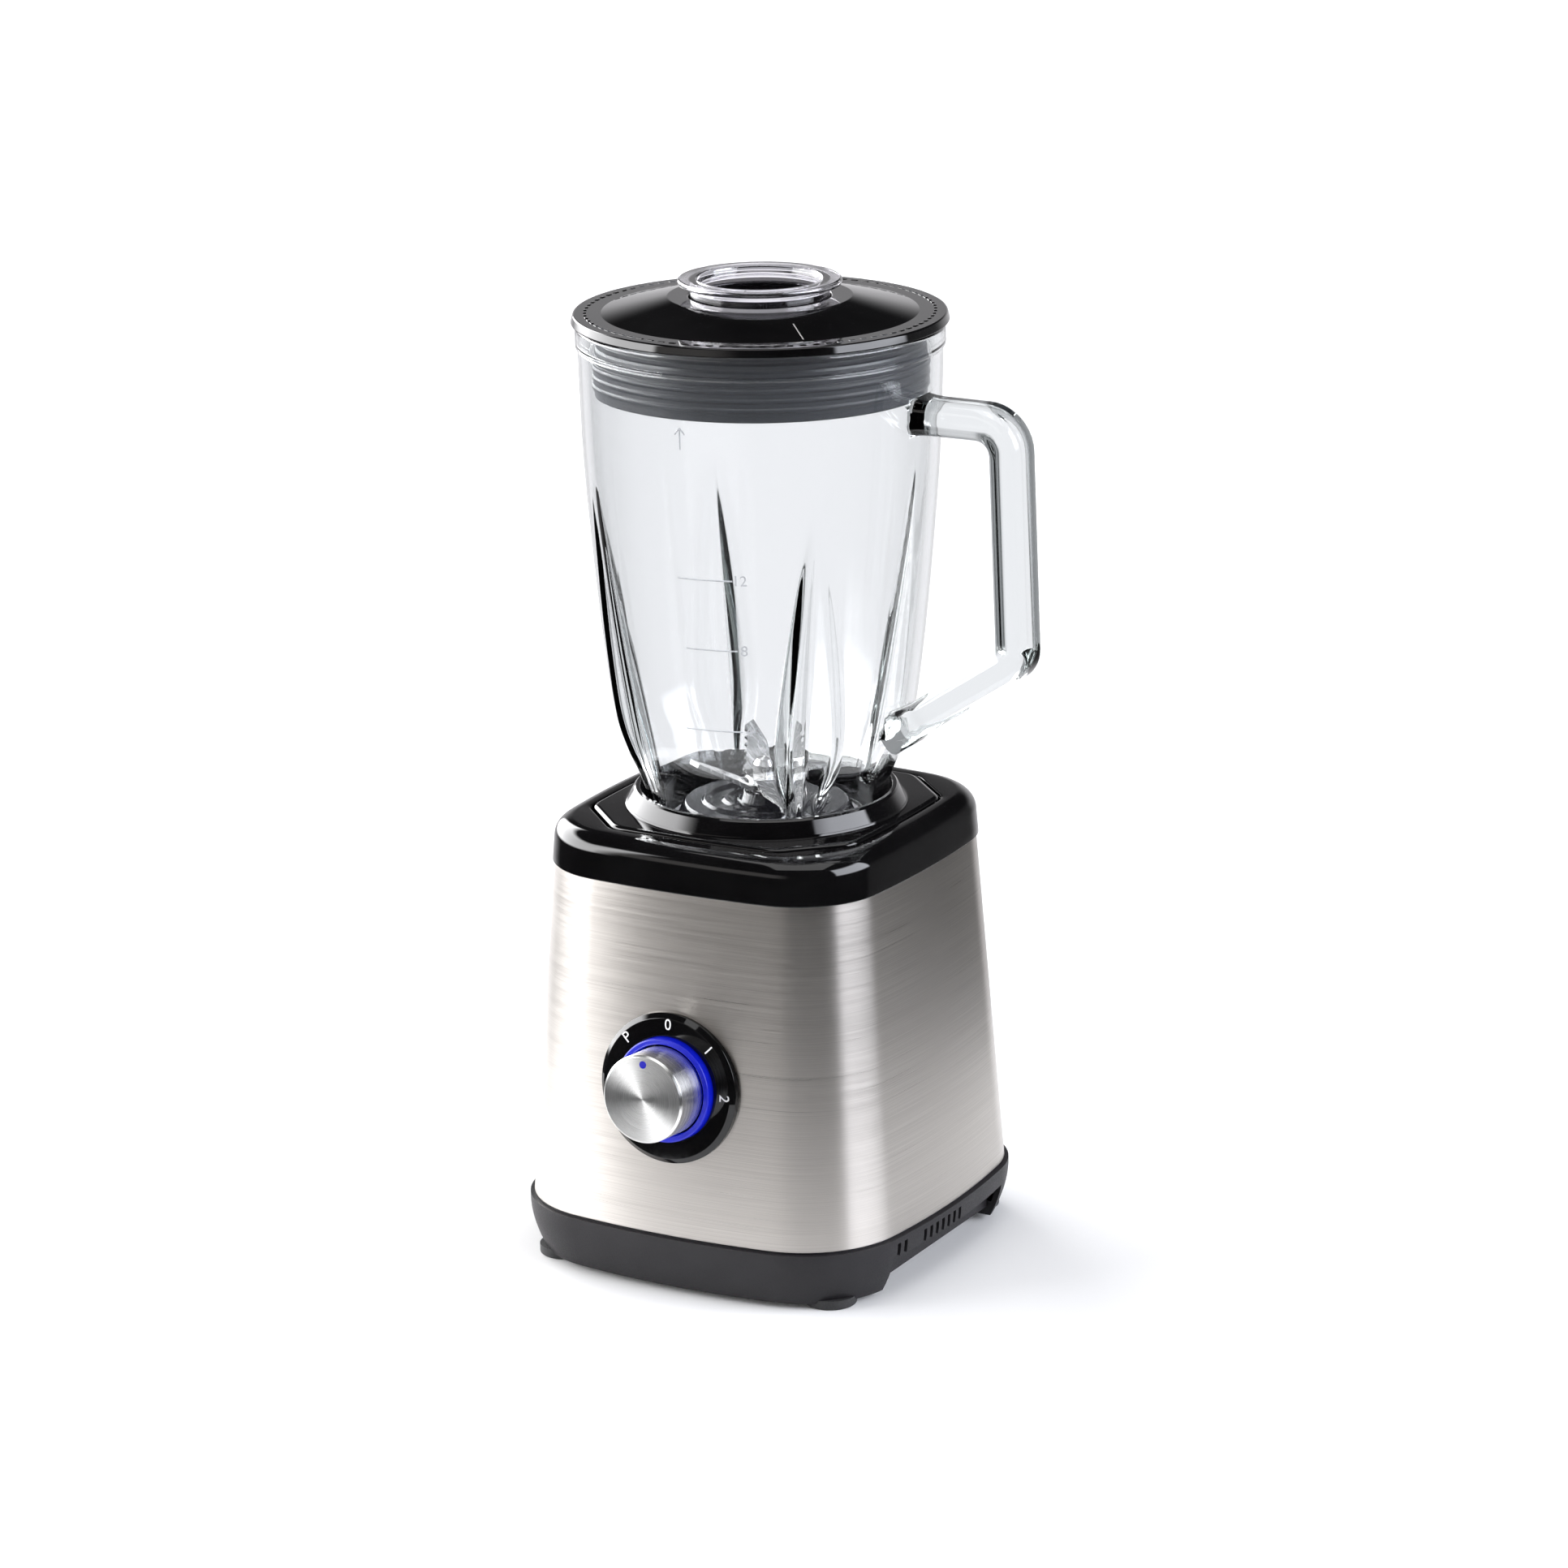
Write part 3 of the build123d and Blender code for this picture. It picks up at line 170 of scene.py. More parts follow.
def carve(piece, tool, operation):
    # one boolean, kept as plain mesh
    step = piece.modifiers.new("carve", "BOOLEAN")
    step.object = tool
    step.operation = operation
    step.solver = "MANIFOLD"
    graph = bpy.context.evaluated_depsgraph_get()
    carved = bpy.data.meshes.new_from_object(piece.evaluated_get(graph))
    piece.modifiers.remove(step)
    piece.data = carved
    bpy.data.objects.remove(tool)


def dress(piece, material, body, replaced=()):
    piece.data.materials.clear()
    piece.data.materials.append(material)
    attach(piece, body)
    if replaced:
        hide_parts(*replaced)


# materials

def newMaterial(name, **sockets):
    material = bpy.data.materials.new(name)
    material.use_nodes = True
    shader = material.node_tree.nodes["Principled BSDF"]
    setSockets(material.node_tree, shader, sockets)
    return material, material.node_tree, shader


def setSockets(tree, made, sockets):
    # a key is a socket's name with _ for its spaces, or i and the socket's number
    for key, value in sockets.items():
        numbered = key[0] == "i" and key[1:].isdigit()
        socket = made.inputs[int(key[1:]) if numbered else key.replace("_", " ")]
        if isinstance(value, bpy.types.NodeSocket):
            tree.links.new(value, socket)
        else:
            socket.default_value = value


def add(tree, kind, settings=None, **sockets):
    made = tree.nodes.new("ShaderNode" + kind)
    for key, value in (settings or {}).items():
        setattr(made, key, value)
    setSockets(tree, made, sockets)
    return made


def stretched(tree, scale):
    # object coordinates, scaled unevenly so that a noise becomes streaks
    coords = add(tree, "TexCoord").outputs["Object"]
    return add(tree, "Mapping", Vector=coords, Scale=scale).outputs["Vector"]


def ranged(tree, value, low, high, fromLow=0.3, fromHigh=0.7):
    return add(tree, "MapRange", Value=value, From_Min=fromLow, From_Max=fromHigh,
               To_Min=low, To_Max=high).outputs["Result"]


def grain(tree, scale, size, detail=3.0):
    return add(tree, "TexNoise", Vector=stretched(tree, scale), Scale=size, Detail=detail).outputs["Fac"]


def bumped(tree, shader, height, strength, distance=0.0001):
    bump = add(tree, "Bump", Height=height, Strength=strength, Distance=distance)
    tree.links.new(bump.outputs["Normal"], shader.inputs["Normal"])


def toned(tree, shader, value, dark, light):
    ramp = add(tree, "ValToRGB", Fac=value)
    ramp.color_ramp.elements[0].position = 0.3
    ramp.color_ramp.elements[1].position = 0.7
    ramp.color_ramp.elements[0].color = (*dark, 1)
    ramp.color_ramp.elements[1].color = (*light, 1)
    tree.links.new(ramp.outputs["Color"], shader.inputs["Base Color"])


def brushedSteel(name, look):
    # streaks run level round the body, so highlights stretch up and down
    material, tree, shader = newMaterial(name, Metallic=1.0, Anisotropic=look["anisotropy"],
                                         Anisotropic_Rotation=0.25)
    streaks = grain(tree, look["streaks"], 1.0)
    broad = grain(tree, look["broad"], 1.0, 2.0)
    toned(tree, shader, streaks, look["dark"], look["light"])
    mixed = add(tree, "Math", {"operation": "ADD"}, i0=streaks, i1=broad).outputs[0]
    rough = ranged(tree, mixed, look["smoothest"], look["roughest"], 0.6, 1.4)
    tree.links.new(rough, shader.inputs["Roughness"])
    tangent = add(tree, "Tangent", {"direction_type": "RADIAL", "axis": "Z"})
    tree.links.new(tangent.outputs["Tangent"], shader.inputs["Tangent"])
    bumped(tree, shader, streaks, look["bump"], 0.00003)
    return material


def spunMetal(name, look):
    # turned finish: fine rings about the piece's own axis
    material, tree, shader = newMaterial(name, Metallic=1.0, Anisotropic=look["anisotropy"],
                                         Anisotropic_Rotation=0.25)
    coords = add(tree, "TexCoord").outputs["Object"]
    height = add(tree, "SeparateXYZ", Vector=coords).outputs["Z"]
    level = add(tree, "VectorMath", {"operation": "MULTIPLY"}, i0=coords, i1=(1, 1, 0)).outputs[0]
    radius = add(tree, "VectorMath", {"operation": "LENGTH"}, i0=level).outputs["Value"]
    both = add(tree, "CombineXYZ", X=radius, Y=height).outputs[0]
    rings = add(tree, "TexNoise", Vector=both, Scale=look["rings"], Detail=3.0).outputs["Fac"]
    toned(tree, shader, rings, look["dark"], look["light"])
    tree.links.new(ranged(tree, rings, look["smoothest"], look["roughest"]), shader.inputs["Roughness"])
    tangent = add(tree, "Tangent", {"direction_type": "RADIAL", "axis": "Z"})
    tree.links.new(tangent.outputs["Tangent"], shader.inputs["Tangent"])
    bumped(tree, shader, rings, look["bump"], 0.00002)
    return material


def plastic(name, look):
    # moulded plastic or rubber: spark-eroded texture, small colour and gloss changes
    material, tree, shader = newMaterial(name, Specular_IOR_Level=look.get("specular", 0.5),
                                         Coat_Weight=look.get("coat", 0.0), Coat_Roughness=0.04)
    cloud = grain(tree, (1, 1, 1), look.get("cloud", 60.0))
    dark = look["colour"]
    light = tuple(min(1.0, channel * look.get("lift", 1.15) + 0.002) for channel in dark)
    toned(tree, shader, cloud, dark, light)
    fine = grain(tree, (1, 1, 1), look.get("grain", 1500.0))
    tree.links.new(ranged(tree, fine, look["smoothest"], look["roughest"]), shader.inputs["Roughness"])
    if look.get("bump", 0):
        bumped(tree, shader, fine, look["bump"], 0.00005)
    return material


def plainMetal(name, look):
    material, tree, shader = newMaterial(name, Metallic=1.0)
    cloud = grain(tree, look.get("stretch", (1, 1, 1)), look.get("cloud", 300.0))
    toned(tree, shader, cloud, look["dark"], look["light"])
    tree.links.new(ranged(tree, cloud, look["smoothest"], look["roughest"]), shader.inputs["Roughness"])
    bumped(tree, shader, cloud, look.get("bump", 0.1), 0.00005)
    return material


def glassy(name, look):
    material, tree, shader = newMaterial(name, Transmission_Weight=1.0, IOR=look["ior"],
                                         Base_Color=(*look["colour"], 1))
    waves = grain(tree, (1, 1, 0.35), look["waves"], 2.0)
    tree.links.new(ranged(tree, waves, look["smoothest"], look["roughest"]), shader.inputs["Roughness"])
    bumped(tree, shader, waves, look["bump"], 0.0002)
    if look.get("depth"):
        body = add(tree, "VolumeAbsorption", Color=(*look["tint"], 1), Density=look["depth"])
        output = next(node for node in tree.nodes if node.type == "OUTPUT_MATERIAL")
        tree.links.new(body.outputs["Volume"], output.inputs["Volume"])
    return material


def glowing(name, look):
    material, tree, shader = newMaterial(name, Roughness=0.35)
    cloud = grain(tree, (1, 1, 1), 400.0)
    toned(tree, shader, cloud, look["dark"], look["light"])
    shader.inputs["Emission Color"].default_value = (*look["glow"], 1)
    shader.inputs["Emission Strength"].default_value = look["strength"]
    bumped(tree, shader, cloud, 0.05)
    return material


steelLook = {"dark": (0.47, 0.445, 0.42), "light": (0.60, 0.572, 0.54), "smoothest": 0.27,
             "roughest": 0.34, "anisotropy": 0.85, "bump": 0.12, "streaks": (14, 14, 5200),
             "broad": (6, 6, 900)}
bladeLook = {"dark": (0.52, 0.52, 0.52), "light": (0.72, 0.72, 0.72), "smoothest": 0.16,
             "roughest": 0.3, "cloud": 220.0, "stretch": (1, 6, 1)}
knobFaceLook = {"dark": (0.80, 0.80, 0.79), "light": (0.92, 0.92, 0.91), "smoothest": 0.22,
                "roughest": 0.34, "anisotropy": 0.8, "bump": 0.2, "rings": 9000.0}
glossLook = {"colour": (0.0017, 0.0016, 0.0018), "smoothest": 0.03, "roughest": 0.07,
             "cloud": 40.0, "grain": 500.0, "bump": 0.02}
panLook = {"colour": (0.013, 0.012, 0.014), "smoothest": 0.42, "roughest": 0.58, "bump": 0.35,
           "specular": 0.3, "grain": 1800.0}
glassLook = {"colour": (0.932, 0.938, 0.942), "tint": (0.78, 0.80, 0.798), "depth": 55.0, "ior": 1.5,
             "waves": 45.0, "smoothest": 0.0, "roughest": 0.015, "bump": 0.025}
capLook = {"colour": (0.90, 0.885, 0.93), "ior": 1.46, "waves": 90.0, "smoothest": 0.02,
           "roughest": 0.06, "bump": 0.02}
glowLook = {"dark": (0.002, 0.004, 0.26), "light": (0.003, 0.008, 0.36), "glow": (0.0, 0.006, 0.45),
            "strength": 0.45}

glossBlack = plastic("glossBlack", glossLook)
panPlastic = plastic("panPlastic", panLook)
sleeveSteel = brushedSteel("sleeveSteel", steelLook)
jugGlass = glassy("jugGlass", glassLook)
capPlastic = glassy("capPlastic", capLook)
knobMetal = spunMetal("knobMetal", knobFaceLook)
ringGlow = glowing("ringGlow", glowLook)
bladeSteel = plainMetal("bladeSteel", bladeLook)
sealBlack = plastic("sealBlack", {"colour": (0.012, 0.014, 0.020), "smoothest": 0.32, "roughest": 0.42,
                                  "specular": 1.0})
frostedMark = plastic("frostedMark", {"colour": (0.40, 0.41, 0.43), "smoothest": 0.35, "roughest": 0.5})
seamGrey = plastic("seamGrey", {"colour": (0.16, 0.155, 0.15), "smoothest": 0.2, "roughest": 0.3})
holderGloss = plastic("holderGloss", {"colour": (0.010, 0.010, 0.012), "smoothest": 0.06, "roughest": 0.14,
                                      "specular": 1.0})
printWhite = plastic("printWhite", {"colour": (0.78, 0.78, 0.78), "smoothest": 0.4, "roughest": 0.55})


def laminated(name):
    # stamped sheets, half a millimetre each, stacked along Z
    material, tree, shader = newMaterial(name, Metallic=1.0)
    bands = add(tree, "TexWave", {"bands_direction": "Z"}, Vector=stretched(tree, (1, 1, 1)),
                Scale=300.0, Distortion=0.3).outputs["Fac"]
    toned(tree, shader, bands, (0.10, 0.10, 0.11), (0.30, 0.30, 0.31))
    tree.links.new(ranged(tree, bands, 0.35, 0.6), shader.inputs["Roughness"])
    bumped(tree, shader, bands, 0.5)
    return material


def wound(name, dark, light):
    # enamelled wire laid side by side
    material, tree, shader = newMaterial(name, Metallic=0.8)
    bands = add(tree, "TexWave", {"bands_direction": "DIAGONAL"}, Vector=stretched(tree, (1, 1, 1)),
                Scale=230.0, Distortion=0.8, Detail=1.0).outputs["Fac"]
    toned(tree, shader, bands, dark, light)
    tree.links.new(ranged(tree, bands, 0.22, 0.4), shader.inputs["Roughness"])
    bumped(tree, shader, bands, 0.8, 0.0003)
    return material


plasticLooks = {
    "foot_rubber": {"colour": (0.02, 0.02, 0.021), "smoothest": 0.6, "roughest": 0.8, "bump": 0.3},
    "seal_rubber": {"colour": (0.025, 0.025, 0.027), "smoothest": 0.5, "roughest": 0.7, "bump": 0.2},
    "chassis_plastic": {"colour": (0.05, 0.05, 0.053), "smoothest": 0.45, "roughest": 0.6, "bump": 0.3},
    "holder_plastic": {"colour": (0.30, 0.27, 0.22), "smoothest": 0.4, "roughest": 0.55, "bump": 0.2},
    "carbon": {"colour": (0.02, 0.02, 0.02), "smoothest": 0.35, "roughest": 0.6, "bump": 0.3},
    "switch_plastic": {"colour": (0.04, 0.04, 0.042), "smoothest": 0.35, "roughest": 0.5, "bump": 0.15},
    "board_green": {"colour": (0.01, 0.11, 0.04), "smoothest": 0.25, "roughest": 0.4, "bump": 0.1},
    "capacitor_yellow": {"colour": (0.62, 0.42, 0.04), "smoothest": 0.25, "roughest": 0.4, "bump": 0.1},
    "terminal_white": {"colour": (0.70, 0.69, 0.66), "smoothest": 0.35, "roughest": 0.5, "bump": 0.1},
    "fan_plastic": {"colour": (0.45, 0.45, 0.43), "smoothest": 0.35, "roughest": 0.5, "bump": 0.15},
    "coupling_rubber": {"colour": (0.018, 0.018, 0.02), "smoothest": 0.5, "roughest": 0.7, "bump": 0.3},
    "knob_plastic": {"colour": (0.03, 0.03, 0.032), "smoothest": 0.4, "roughest": 0.55, "bump": 0.2},
    "marker_blue": {"colour": (0.004, 0.004, 0.33), "smoothest": 0.25, "roughest": 0.4, "bump": 0.05},
    "gasket_silicone": {"colour": (0.35, 0.35, 0.36), "smoothest": 0.45, "roughest": 0.6, "bump": 0.1},
    "holder_black": {"colour": (0.012, 0.012, 0.013), "smoothest": 0.2, "roughest": 0.35, "bump": 0.1},
}
metalLooks = {
    "zinc_steel": {"dark": (0.42, 0.42, 0.40), "light": (0.62, 0.62, 0.58), "smoothest": 0.3,
                   "roughest": 0.5},
    "bearing_steel": {"dark": (0.55, 0.55, 0.56), "light": (0.68, 0.68, 0.70), "smoothest": 0.12,
                      "roughest": 0.25},
    "screw_steel": {"dark": (0.45, 0.45, 0.44), "light": (0.62, 0.62, 0.60), "smoothest": 0.25,
                    "roughest": 0.4},
    "spring_steel": {"dark": (0.4, 0.4, 0.4), "light": (0.6, 0.6, 0.6), "smoothest": 0.2, "roughest": 0.35},
    "shaft_steel": {"dark": (0.5, 0.5, 0.51), "light": (0.66, 0.66, 0.67), "smoothest": 0.15,
                    "roughest": 0.3, "stretch": (1, 1, 8)},
    "commutator_copper": {"dark": (0.55, 0.26, 0.13), "light": (0.78, 0.42, 0.25), "smoothest": 0.2,
                          "roughest": 0.35},
    "coupling_metal": {"dark": (0.40, 0.40, 0.41), "light": (0.56, 0.56, 0.57), "smoothest": 0.35,
                       "roughest": 0.5},
    "bush_bronze": {"dark": (0.42, 0.28, 0.12), "light": (0.6, 0.42, 0.2), "smoothest": 0.3, "roughest": 0.5},
}
finishes = {"pan_plastic": panPlastic, "brushed_steel": sleeveSteel, "gloss_black": glossBlack,
            "dial_black": glossBlack, "glow_blue": ringGlow, "knob_aluminium": knobMetal,
            "clear_glass": jugGlass, "cap_clear": capPlastic, "blade_steel": bladeSteel,
            "laminations": laminated("laminations"),
            "enamelled_copper": wound("enamelledCopper", (0.30, 0.10, 0.03), (0.62, 0.28, 0.10))}
for slotName, look in plasticLooks.items():
    finishes[slotName] = plastic(slotName, look)
for slotName, look in metalLooks.items():
    finishes[slotName] = plainMetal(slotName, look)
unmatched = set()
for item in nodes.values():
    for held in item.material_slots:
        slotName = held.material.name.split(".")[0]
        if slotName in finishes:
            held.material = finishes[slotName]
        else:
            unmatched.add(held.material.name)
print("finishes set on the packed nodes; unmatched:", sorted(unmatched))


# base: steel sleeve and gloss cover

# each pair is at the bottom and at the top
sleeve = {"halfX": (83.4, 72.3), "halfY": (85.4, 74.0), "bow": (8.2, 5.2), "corner": (42.0, 34.5),
          "bottom": 25.2, "top": 164.6, "wall": 0.8, "edge": 0.25, "rows": 12, "dialHole": 25.3}
spokeCount = 288
arcSteps = 24


def bowedQuarter(halfX, halfY, bow, corner):
    # one quarter of a square with bowed sides and round corners, from +X to +Y
    radiusX = ((halfY - bow) ** 2 + bow * bow) / (2 * bow)
    radiusY = ((halfX - bow) ** 2 + bow * bow) / (2 * bow)
    centreX, centreY = Vector((halfX - radiusX, 0)), Vector((0, halfY - radiusY))
    apart = centreY - centreX
    reachX, reachY = radiusX - corner, radiusY - corner
    along = (apart.length_squared + reachX ** 2 - reachY ** 2) / (2 * apart.length)
    aside = sqrt(reachX ** 2 - along ** 2)
    apart.normalize()
    middle = centreX + apart * along + Vector((apart.y, -apart.x)) * aside
    if middle.x < 0 or middle.y < 0:
        middle = centreX + apart * along - Vector((apart.y, -apart.x)) * aside
    start = atan2(middle.y, middle.x - centreX.x)
    stop = atan2(middle.y - centreY.y, middle.x)
    points = []
    for centre, radius, low, high in ((centreX, radiusX, 0, start), (middle, corner, start, stop),
                                      (centreY, radiusY, stop, pi / 2)):
        for i in range(arcSteps + 1):
            angle = low + (high - low) * i / arcSteps
            points.append(centre + Vector((cos(angle), sin(angle))) * radius)
    return points


def spokes(outline, z):
    # an outline that goes once round the axis, read at evenly spaced angles
    polar = sorted((atan2(p[1], p[0]), hypot(p[0], p[1])) for p in outline)
    polar = [(polar[-1][0] - 2 * pi, polar[-1][1])] + polar + [(polar[0][0] + 2 * pi, polar[0][1])]
    loop = []
    at = 0
    for i in range(spokeCount):
        angle = -pi + 2 * pi * i / spokeCount
        while polar[at + 1][0] < angle:
            at += 1
        (a0, r0), (a1, r1) = polar[at], polar[at + 1]
        share = (angle - a0) / (a1 - a0) if a1 > a0 else 0.0
        x0, y0, x1, y1 = r0 * cos(a0), r0 * sin(a0), r1 * cos(a1), r1 * sin(a1)
        # where the ray at this angle crosses the chord
        dx, dy = x1 - x0, y1 - y0
        cross = cos(angle) * dy - sin(angle) * dx
        r = (x0 * dy - y0 * dx) / cross if abs(cross) > 1e-9 else r0 + (r1 - r0) * share
        loop.append((r * cos(angle), r * sin(angle), z))
    return loop


def bowed(halfX, halfY, bow, corner, z):
    quarter = bowedQuarter(halfX, halfY, bow, corner)
    outline = [(sx * p.x, sy * p.y) for sx in (1, -1) for sy in (1, -1) for p in quarter]
    return spokes(outline, z)


def sleeveLoop(z, inset):
    s = sleeve
    share = (z - s["bottom"]) / (s["top"] - s["bottom"])
    halfX, halfY, bow, corner = (low + (high - low) * share for low, high in
                                 (s["halfX"], s["halfY"], s["bow"], s["corner"]))
    return bowed(halfX - inset, halfY - inset, bow, corner - inset, z)


def circleLoop(radius, z):
    return [(radius * cos(-pi + 2 * pi * i / spokeCount), radius * sin(-pi + 2 * pi * i / spokeCount), z)
            for i in range(spokeCount)]


dialJoint = joints["dial_turn"]
dialOut = -Vector(dialJoint["axis"]).normalized()
dialSide = Vector((0, 0, 1)).cross(dialOut).normalized()
dialPlace = Matrix((dialSide, dialOut.cross(dialSide), dialOut)).transposed().to_4x4()
dialPlace.translation = Vector(dialJoint["pos_m"])


def buildSleeve():
    s = sleeve
    edge, wall = s["edge"], s["wall"]
    low, high = s["bottom"] + edge, s["top"] - edge
    rows = [(s["bottom"], wall - edge), (s["bottom"], edge), (low, 0)]
    rows += [(low + (high - low) * i / s["rows"], 0) for i in range(1, s["rows"] + 1)]
    rows += [(s["top"], edge), (s["top"], wall - edge), (high, wall), (low, wall)]
    piece = makePiece("steelShell", *skin([sleeveLoop(z, inset) for z, inset in rows], "ring"))
    punch = skin(turn([(s["dialHole"], -20), (s["dialHole"], 20)], 96), "capped")
    carve(piece, makePiece("punch", *punch, dialPlace), "DIFFERENCE")
    smooth(piece)
    dress(piece, sleeveSteel, "base", ["steel_sleeve"])


cover = {"half": (72.3, 74.0), "bow": 5.2, "corner": 34.5, "proud": 1.0, "taper": 1.2, "bottom": 163.8,
         "top": 181.5, "round": 7.0, "wall": 2.5, "edge": 0.5, "seat": 177.5, "gap": 1.0, "well": 54.0,
         "wellFloor": 155.0, "wellThick": 3.0, "shaftHole": 9.0, "pinBore": 2.2, "rows": 3, "roundRows": 10}
plate = {"half": 60.5, "bow": 3.0, "chamfer": 21.0, "soft": 8.0, "round": 1.6, "roundRows": 8, "top": 182.5,
         "cove": ((57.4, 182.5), (56.5, 182.6)),
         "collar": ((56.2, 182.5, 0), (56.2, 183.4, 0.6), (53.0, 188.6, 0.8), (52.2, 189.4, 0.5),
                    (50.6, 189.4, 0.4), (48.4, 185.5, 0.3)),
         "socket": ((48.4, 170.0), (40.0, 170.0), (40.0, 163.0), (51.5, 163.0), (52.0, 163.5), (52.0, 177.5))}


def coverLoop(z, inset=0.0):
    c = cover
    grow = c["proud"] - c["taper"] * (z - c["bottom"]) / (c["top"] - c["bottom"]) - inset
    return bowed(c["half"][0] + grow, c["half"][1] + grow, c["bow"], c["corner"] + c["proud"] - inset, z)


def plateLoop(z, grow=0.0):
    # square with long chamfers, soft corners and slightly bowed sides
    half = plate["half"] + grow
    short = half - plate["bow"] - plate["chamfer"]
    low = half - plate["bow"] * (short / (half - plate["bow"])) ** 2
    bow = half - low
    ring = [(low, -short), (low, short), (short, low), (-short, low),
            (-low, short), (-low, -short), (-short, -low), (short, -low)]
    outline = spanned(softened([(x, y, plate["soft"]) for x, y in ring]), 2.0)
    outline.append(outline[0])
    bent = []
    for p in outline:
        x, y = p
        if abs(y) < short and abs(x) > short:
            x += bow * (1 - (y / short) ** 2) * (1 if x > 0 else -1)
        if abs(x) < short and abs(y) > short:
            y += bow * (1 - (x / short) ** 2) * (1 if y > 0 else -1)
        bent.append((x, y))
    return spokes(bent, z)


def buildCover():
    # outside wall and its rounded top, the seat for the jug, its well, and back along the underside
    c = cover
    edge, wall, gap, well = c["edge"], c["wall"], c["gap"], c["well"]
    inner, corner = 0.8 * edge, 0.6 * edge
    wallTop = c["top"] - c["round"]
    loops = [coverLoop(c["bottom"] + inner, wall), coverLoop(c["bottom"], wall - inner),
             coverLoop(c["bottom"], edge), coverLoop(c["bottom"] + edge, 0.0)]
    rise = wallTop - c["bottom"] - edge
    loops += [coverLoop(c["bottom"] + edge + rise * i / c["rows"]) for i in range(1, c["rows"] + 1)]
    for i in range(1, c["roundRows"] + 1):
        angle = pi / 2 * i / c["roundRows"]
        loops.append(coverLoop(wallTop + c["round"] * sin(angle), c["round"] * (1 - cos(angle))))
    seat = c["seat"]
    loops += [plateLoop(c["top"], gap + edge), plateLoop(c["top"] - edge * 0.3, gap + edge * 0.3),
              plateLoop(c["top"] - edge, gap), plateLoop(seat + corner, gap), plateLoop(seat, gap - corner)]
    wellUnder, under = c["wellFloor"] - c["wellThick"], seat - wall
    loops += [circleLoop(radius, z) for radius, z in (
        (well + edge, seat), (well, seat - edge), (well, c["wellFloor"] + 1), (well - 1, c["wellFloor"]),
        (c["shaftHole"], c["wellFloor"]), (c["shaftHole"], wellUnder), (well + wall, wellUnder),
        (well + wall, under))]
    loops.append(coverLoop(under, wall))
    piece = makePiece("topCover", *skin(loops, "ring"))
    # bore in the seat for the pin that feels the jug
    low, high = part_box("interlock_pin")
    middle = Matrix.Translation(((low[0] + high[0]) / 2, (low[1] + high[1]) / 2, 0))
    bore = turn([(c["pinBore"], seat - 2 * wall), (c["pinBore"], seat + wall)], 48)
    carve(piece, makePiece("punch", *skin(bore, "capped"), middle), "DIFFERENCE")
    smooth(piece)
    dress(piece, glossBlack, "base", ["top_cover"])


def buildJugBase():
    # square plate, then over the collar, down its socket and up the skirt that sits in the well
    p = plate
    corner = 0.3
    loops = [plateLoop(cover["seat"], -corner), plateLoop(cover["seat"] + corner)]
    for i in range(p["roundRows"] + 1):
        angle = pi / 2 * i / p["roundRows"]
        loops.append(plateLoop(p["top"] - p["round"] * (1 - sin(angle)), -p["round"] * (1 - cos(angle))))
    collar = softened(p["collar"], closed=False)[1:]
    loops += [circleLoop(radius, z) for radius, z in (*p["cove"], *collar, *p["socket"])]
    piece = makePiece("jugBase", *skin(loops, "ring"))
    dress(piece, glossBlack, "jug", ["jar_base"])


buildSleeve()
buildCover()
buildJugBase()
print("base shells built")


# dial

dial = {"bezel": 30.4, "bezelEdge": 1.4, "bezelBevel": 2.0, "bezelFace": 3.0, "boss": 25.0, "depth": 5.0,
        "ring": 20.9, "ringWall": 2.4, "ringFace": 6.6, "knob": 17.7, "knobFace": 22.0, "knobSkirt": 5.2,
        "knobWall": 1.2, "knobEdge": 0.8, "markerRadius": 14.0, "marker": 1.5, "labelRadius": 25.9,
        "labelHeight": 4.6, "gap": 0.25, "back": -1.5, "spindleHole": 4.0, "ringLow": 0.6,
        "faceRings": (15.6, 12.4, 8.0, 4.0, 1.6)}
dialLabels = (("P", -45), ("0", 0), ("1", 45), ("2", 90))
lettering = {"sizePerHeight": 1.36, "thick": 0.08}


def buildBezel():
    # the disc is in two rings, outside and inside the slot of the light ring
    d = dial
    slotOut, slotIn = d["ring"] + d["gap"], d["ring"] - d["ringWall"] - d["gap"]
    profile = softened([
        (slotOut, -d["depth"], 0), (d["boss"], -d["depth"], 0.3), (d["boss"], d["back"], 0.2),
        (d["bezel"], d["back"], 0.2), (d["bezel"], d["bezelEdge"], 0.35),
        (d["bezel"] - d["bezelBevel"], d["bezelFace"], 0.5), (slotOut, d["bezelFace"], 0.3)])
    outer = makePiece("dialBezel", *skin(turn(profile, 192), "ring"), dialPlace)
    dress(outer, glossBlack, "base", ["dial_bezel"])
    profile = softened([(d["spindleHole"], -d["depth"], 0), (slotIn, -d["depth"], 0.3),
                        (slotIn, d["bezelFace"], 0.3), (d["spindleHole"], d["bezelFace"], 0.2)])
    inner = makePiece("dialCentre", *skin(turn(profile, 128), "ring"), dialPlace)
    dress(inner, glossBlack, "base", [])


def buildLightRing():
    d = dial
    inner = d["ring"] - d["ringWall"]
    profile = softened([(d["ring"], d["ringLow"], 0.2), (d["ring"], d["ringFace"], 0.7),
                        (inner, d["ringFace"], 0.7), (inner, d["ringLow"], 0.2)])
    piece = makePiece("glowRing", *skin(turn(profile, 192), "ring"), dialPlace)
    dress(piece, ringGlow, "base", ["light_ring"])


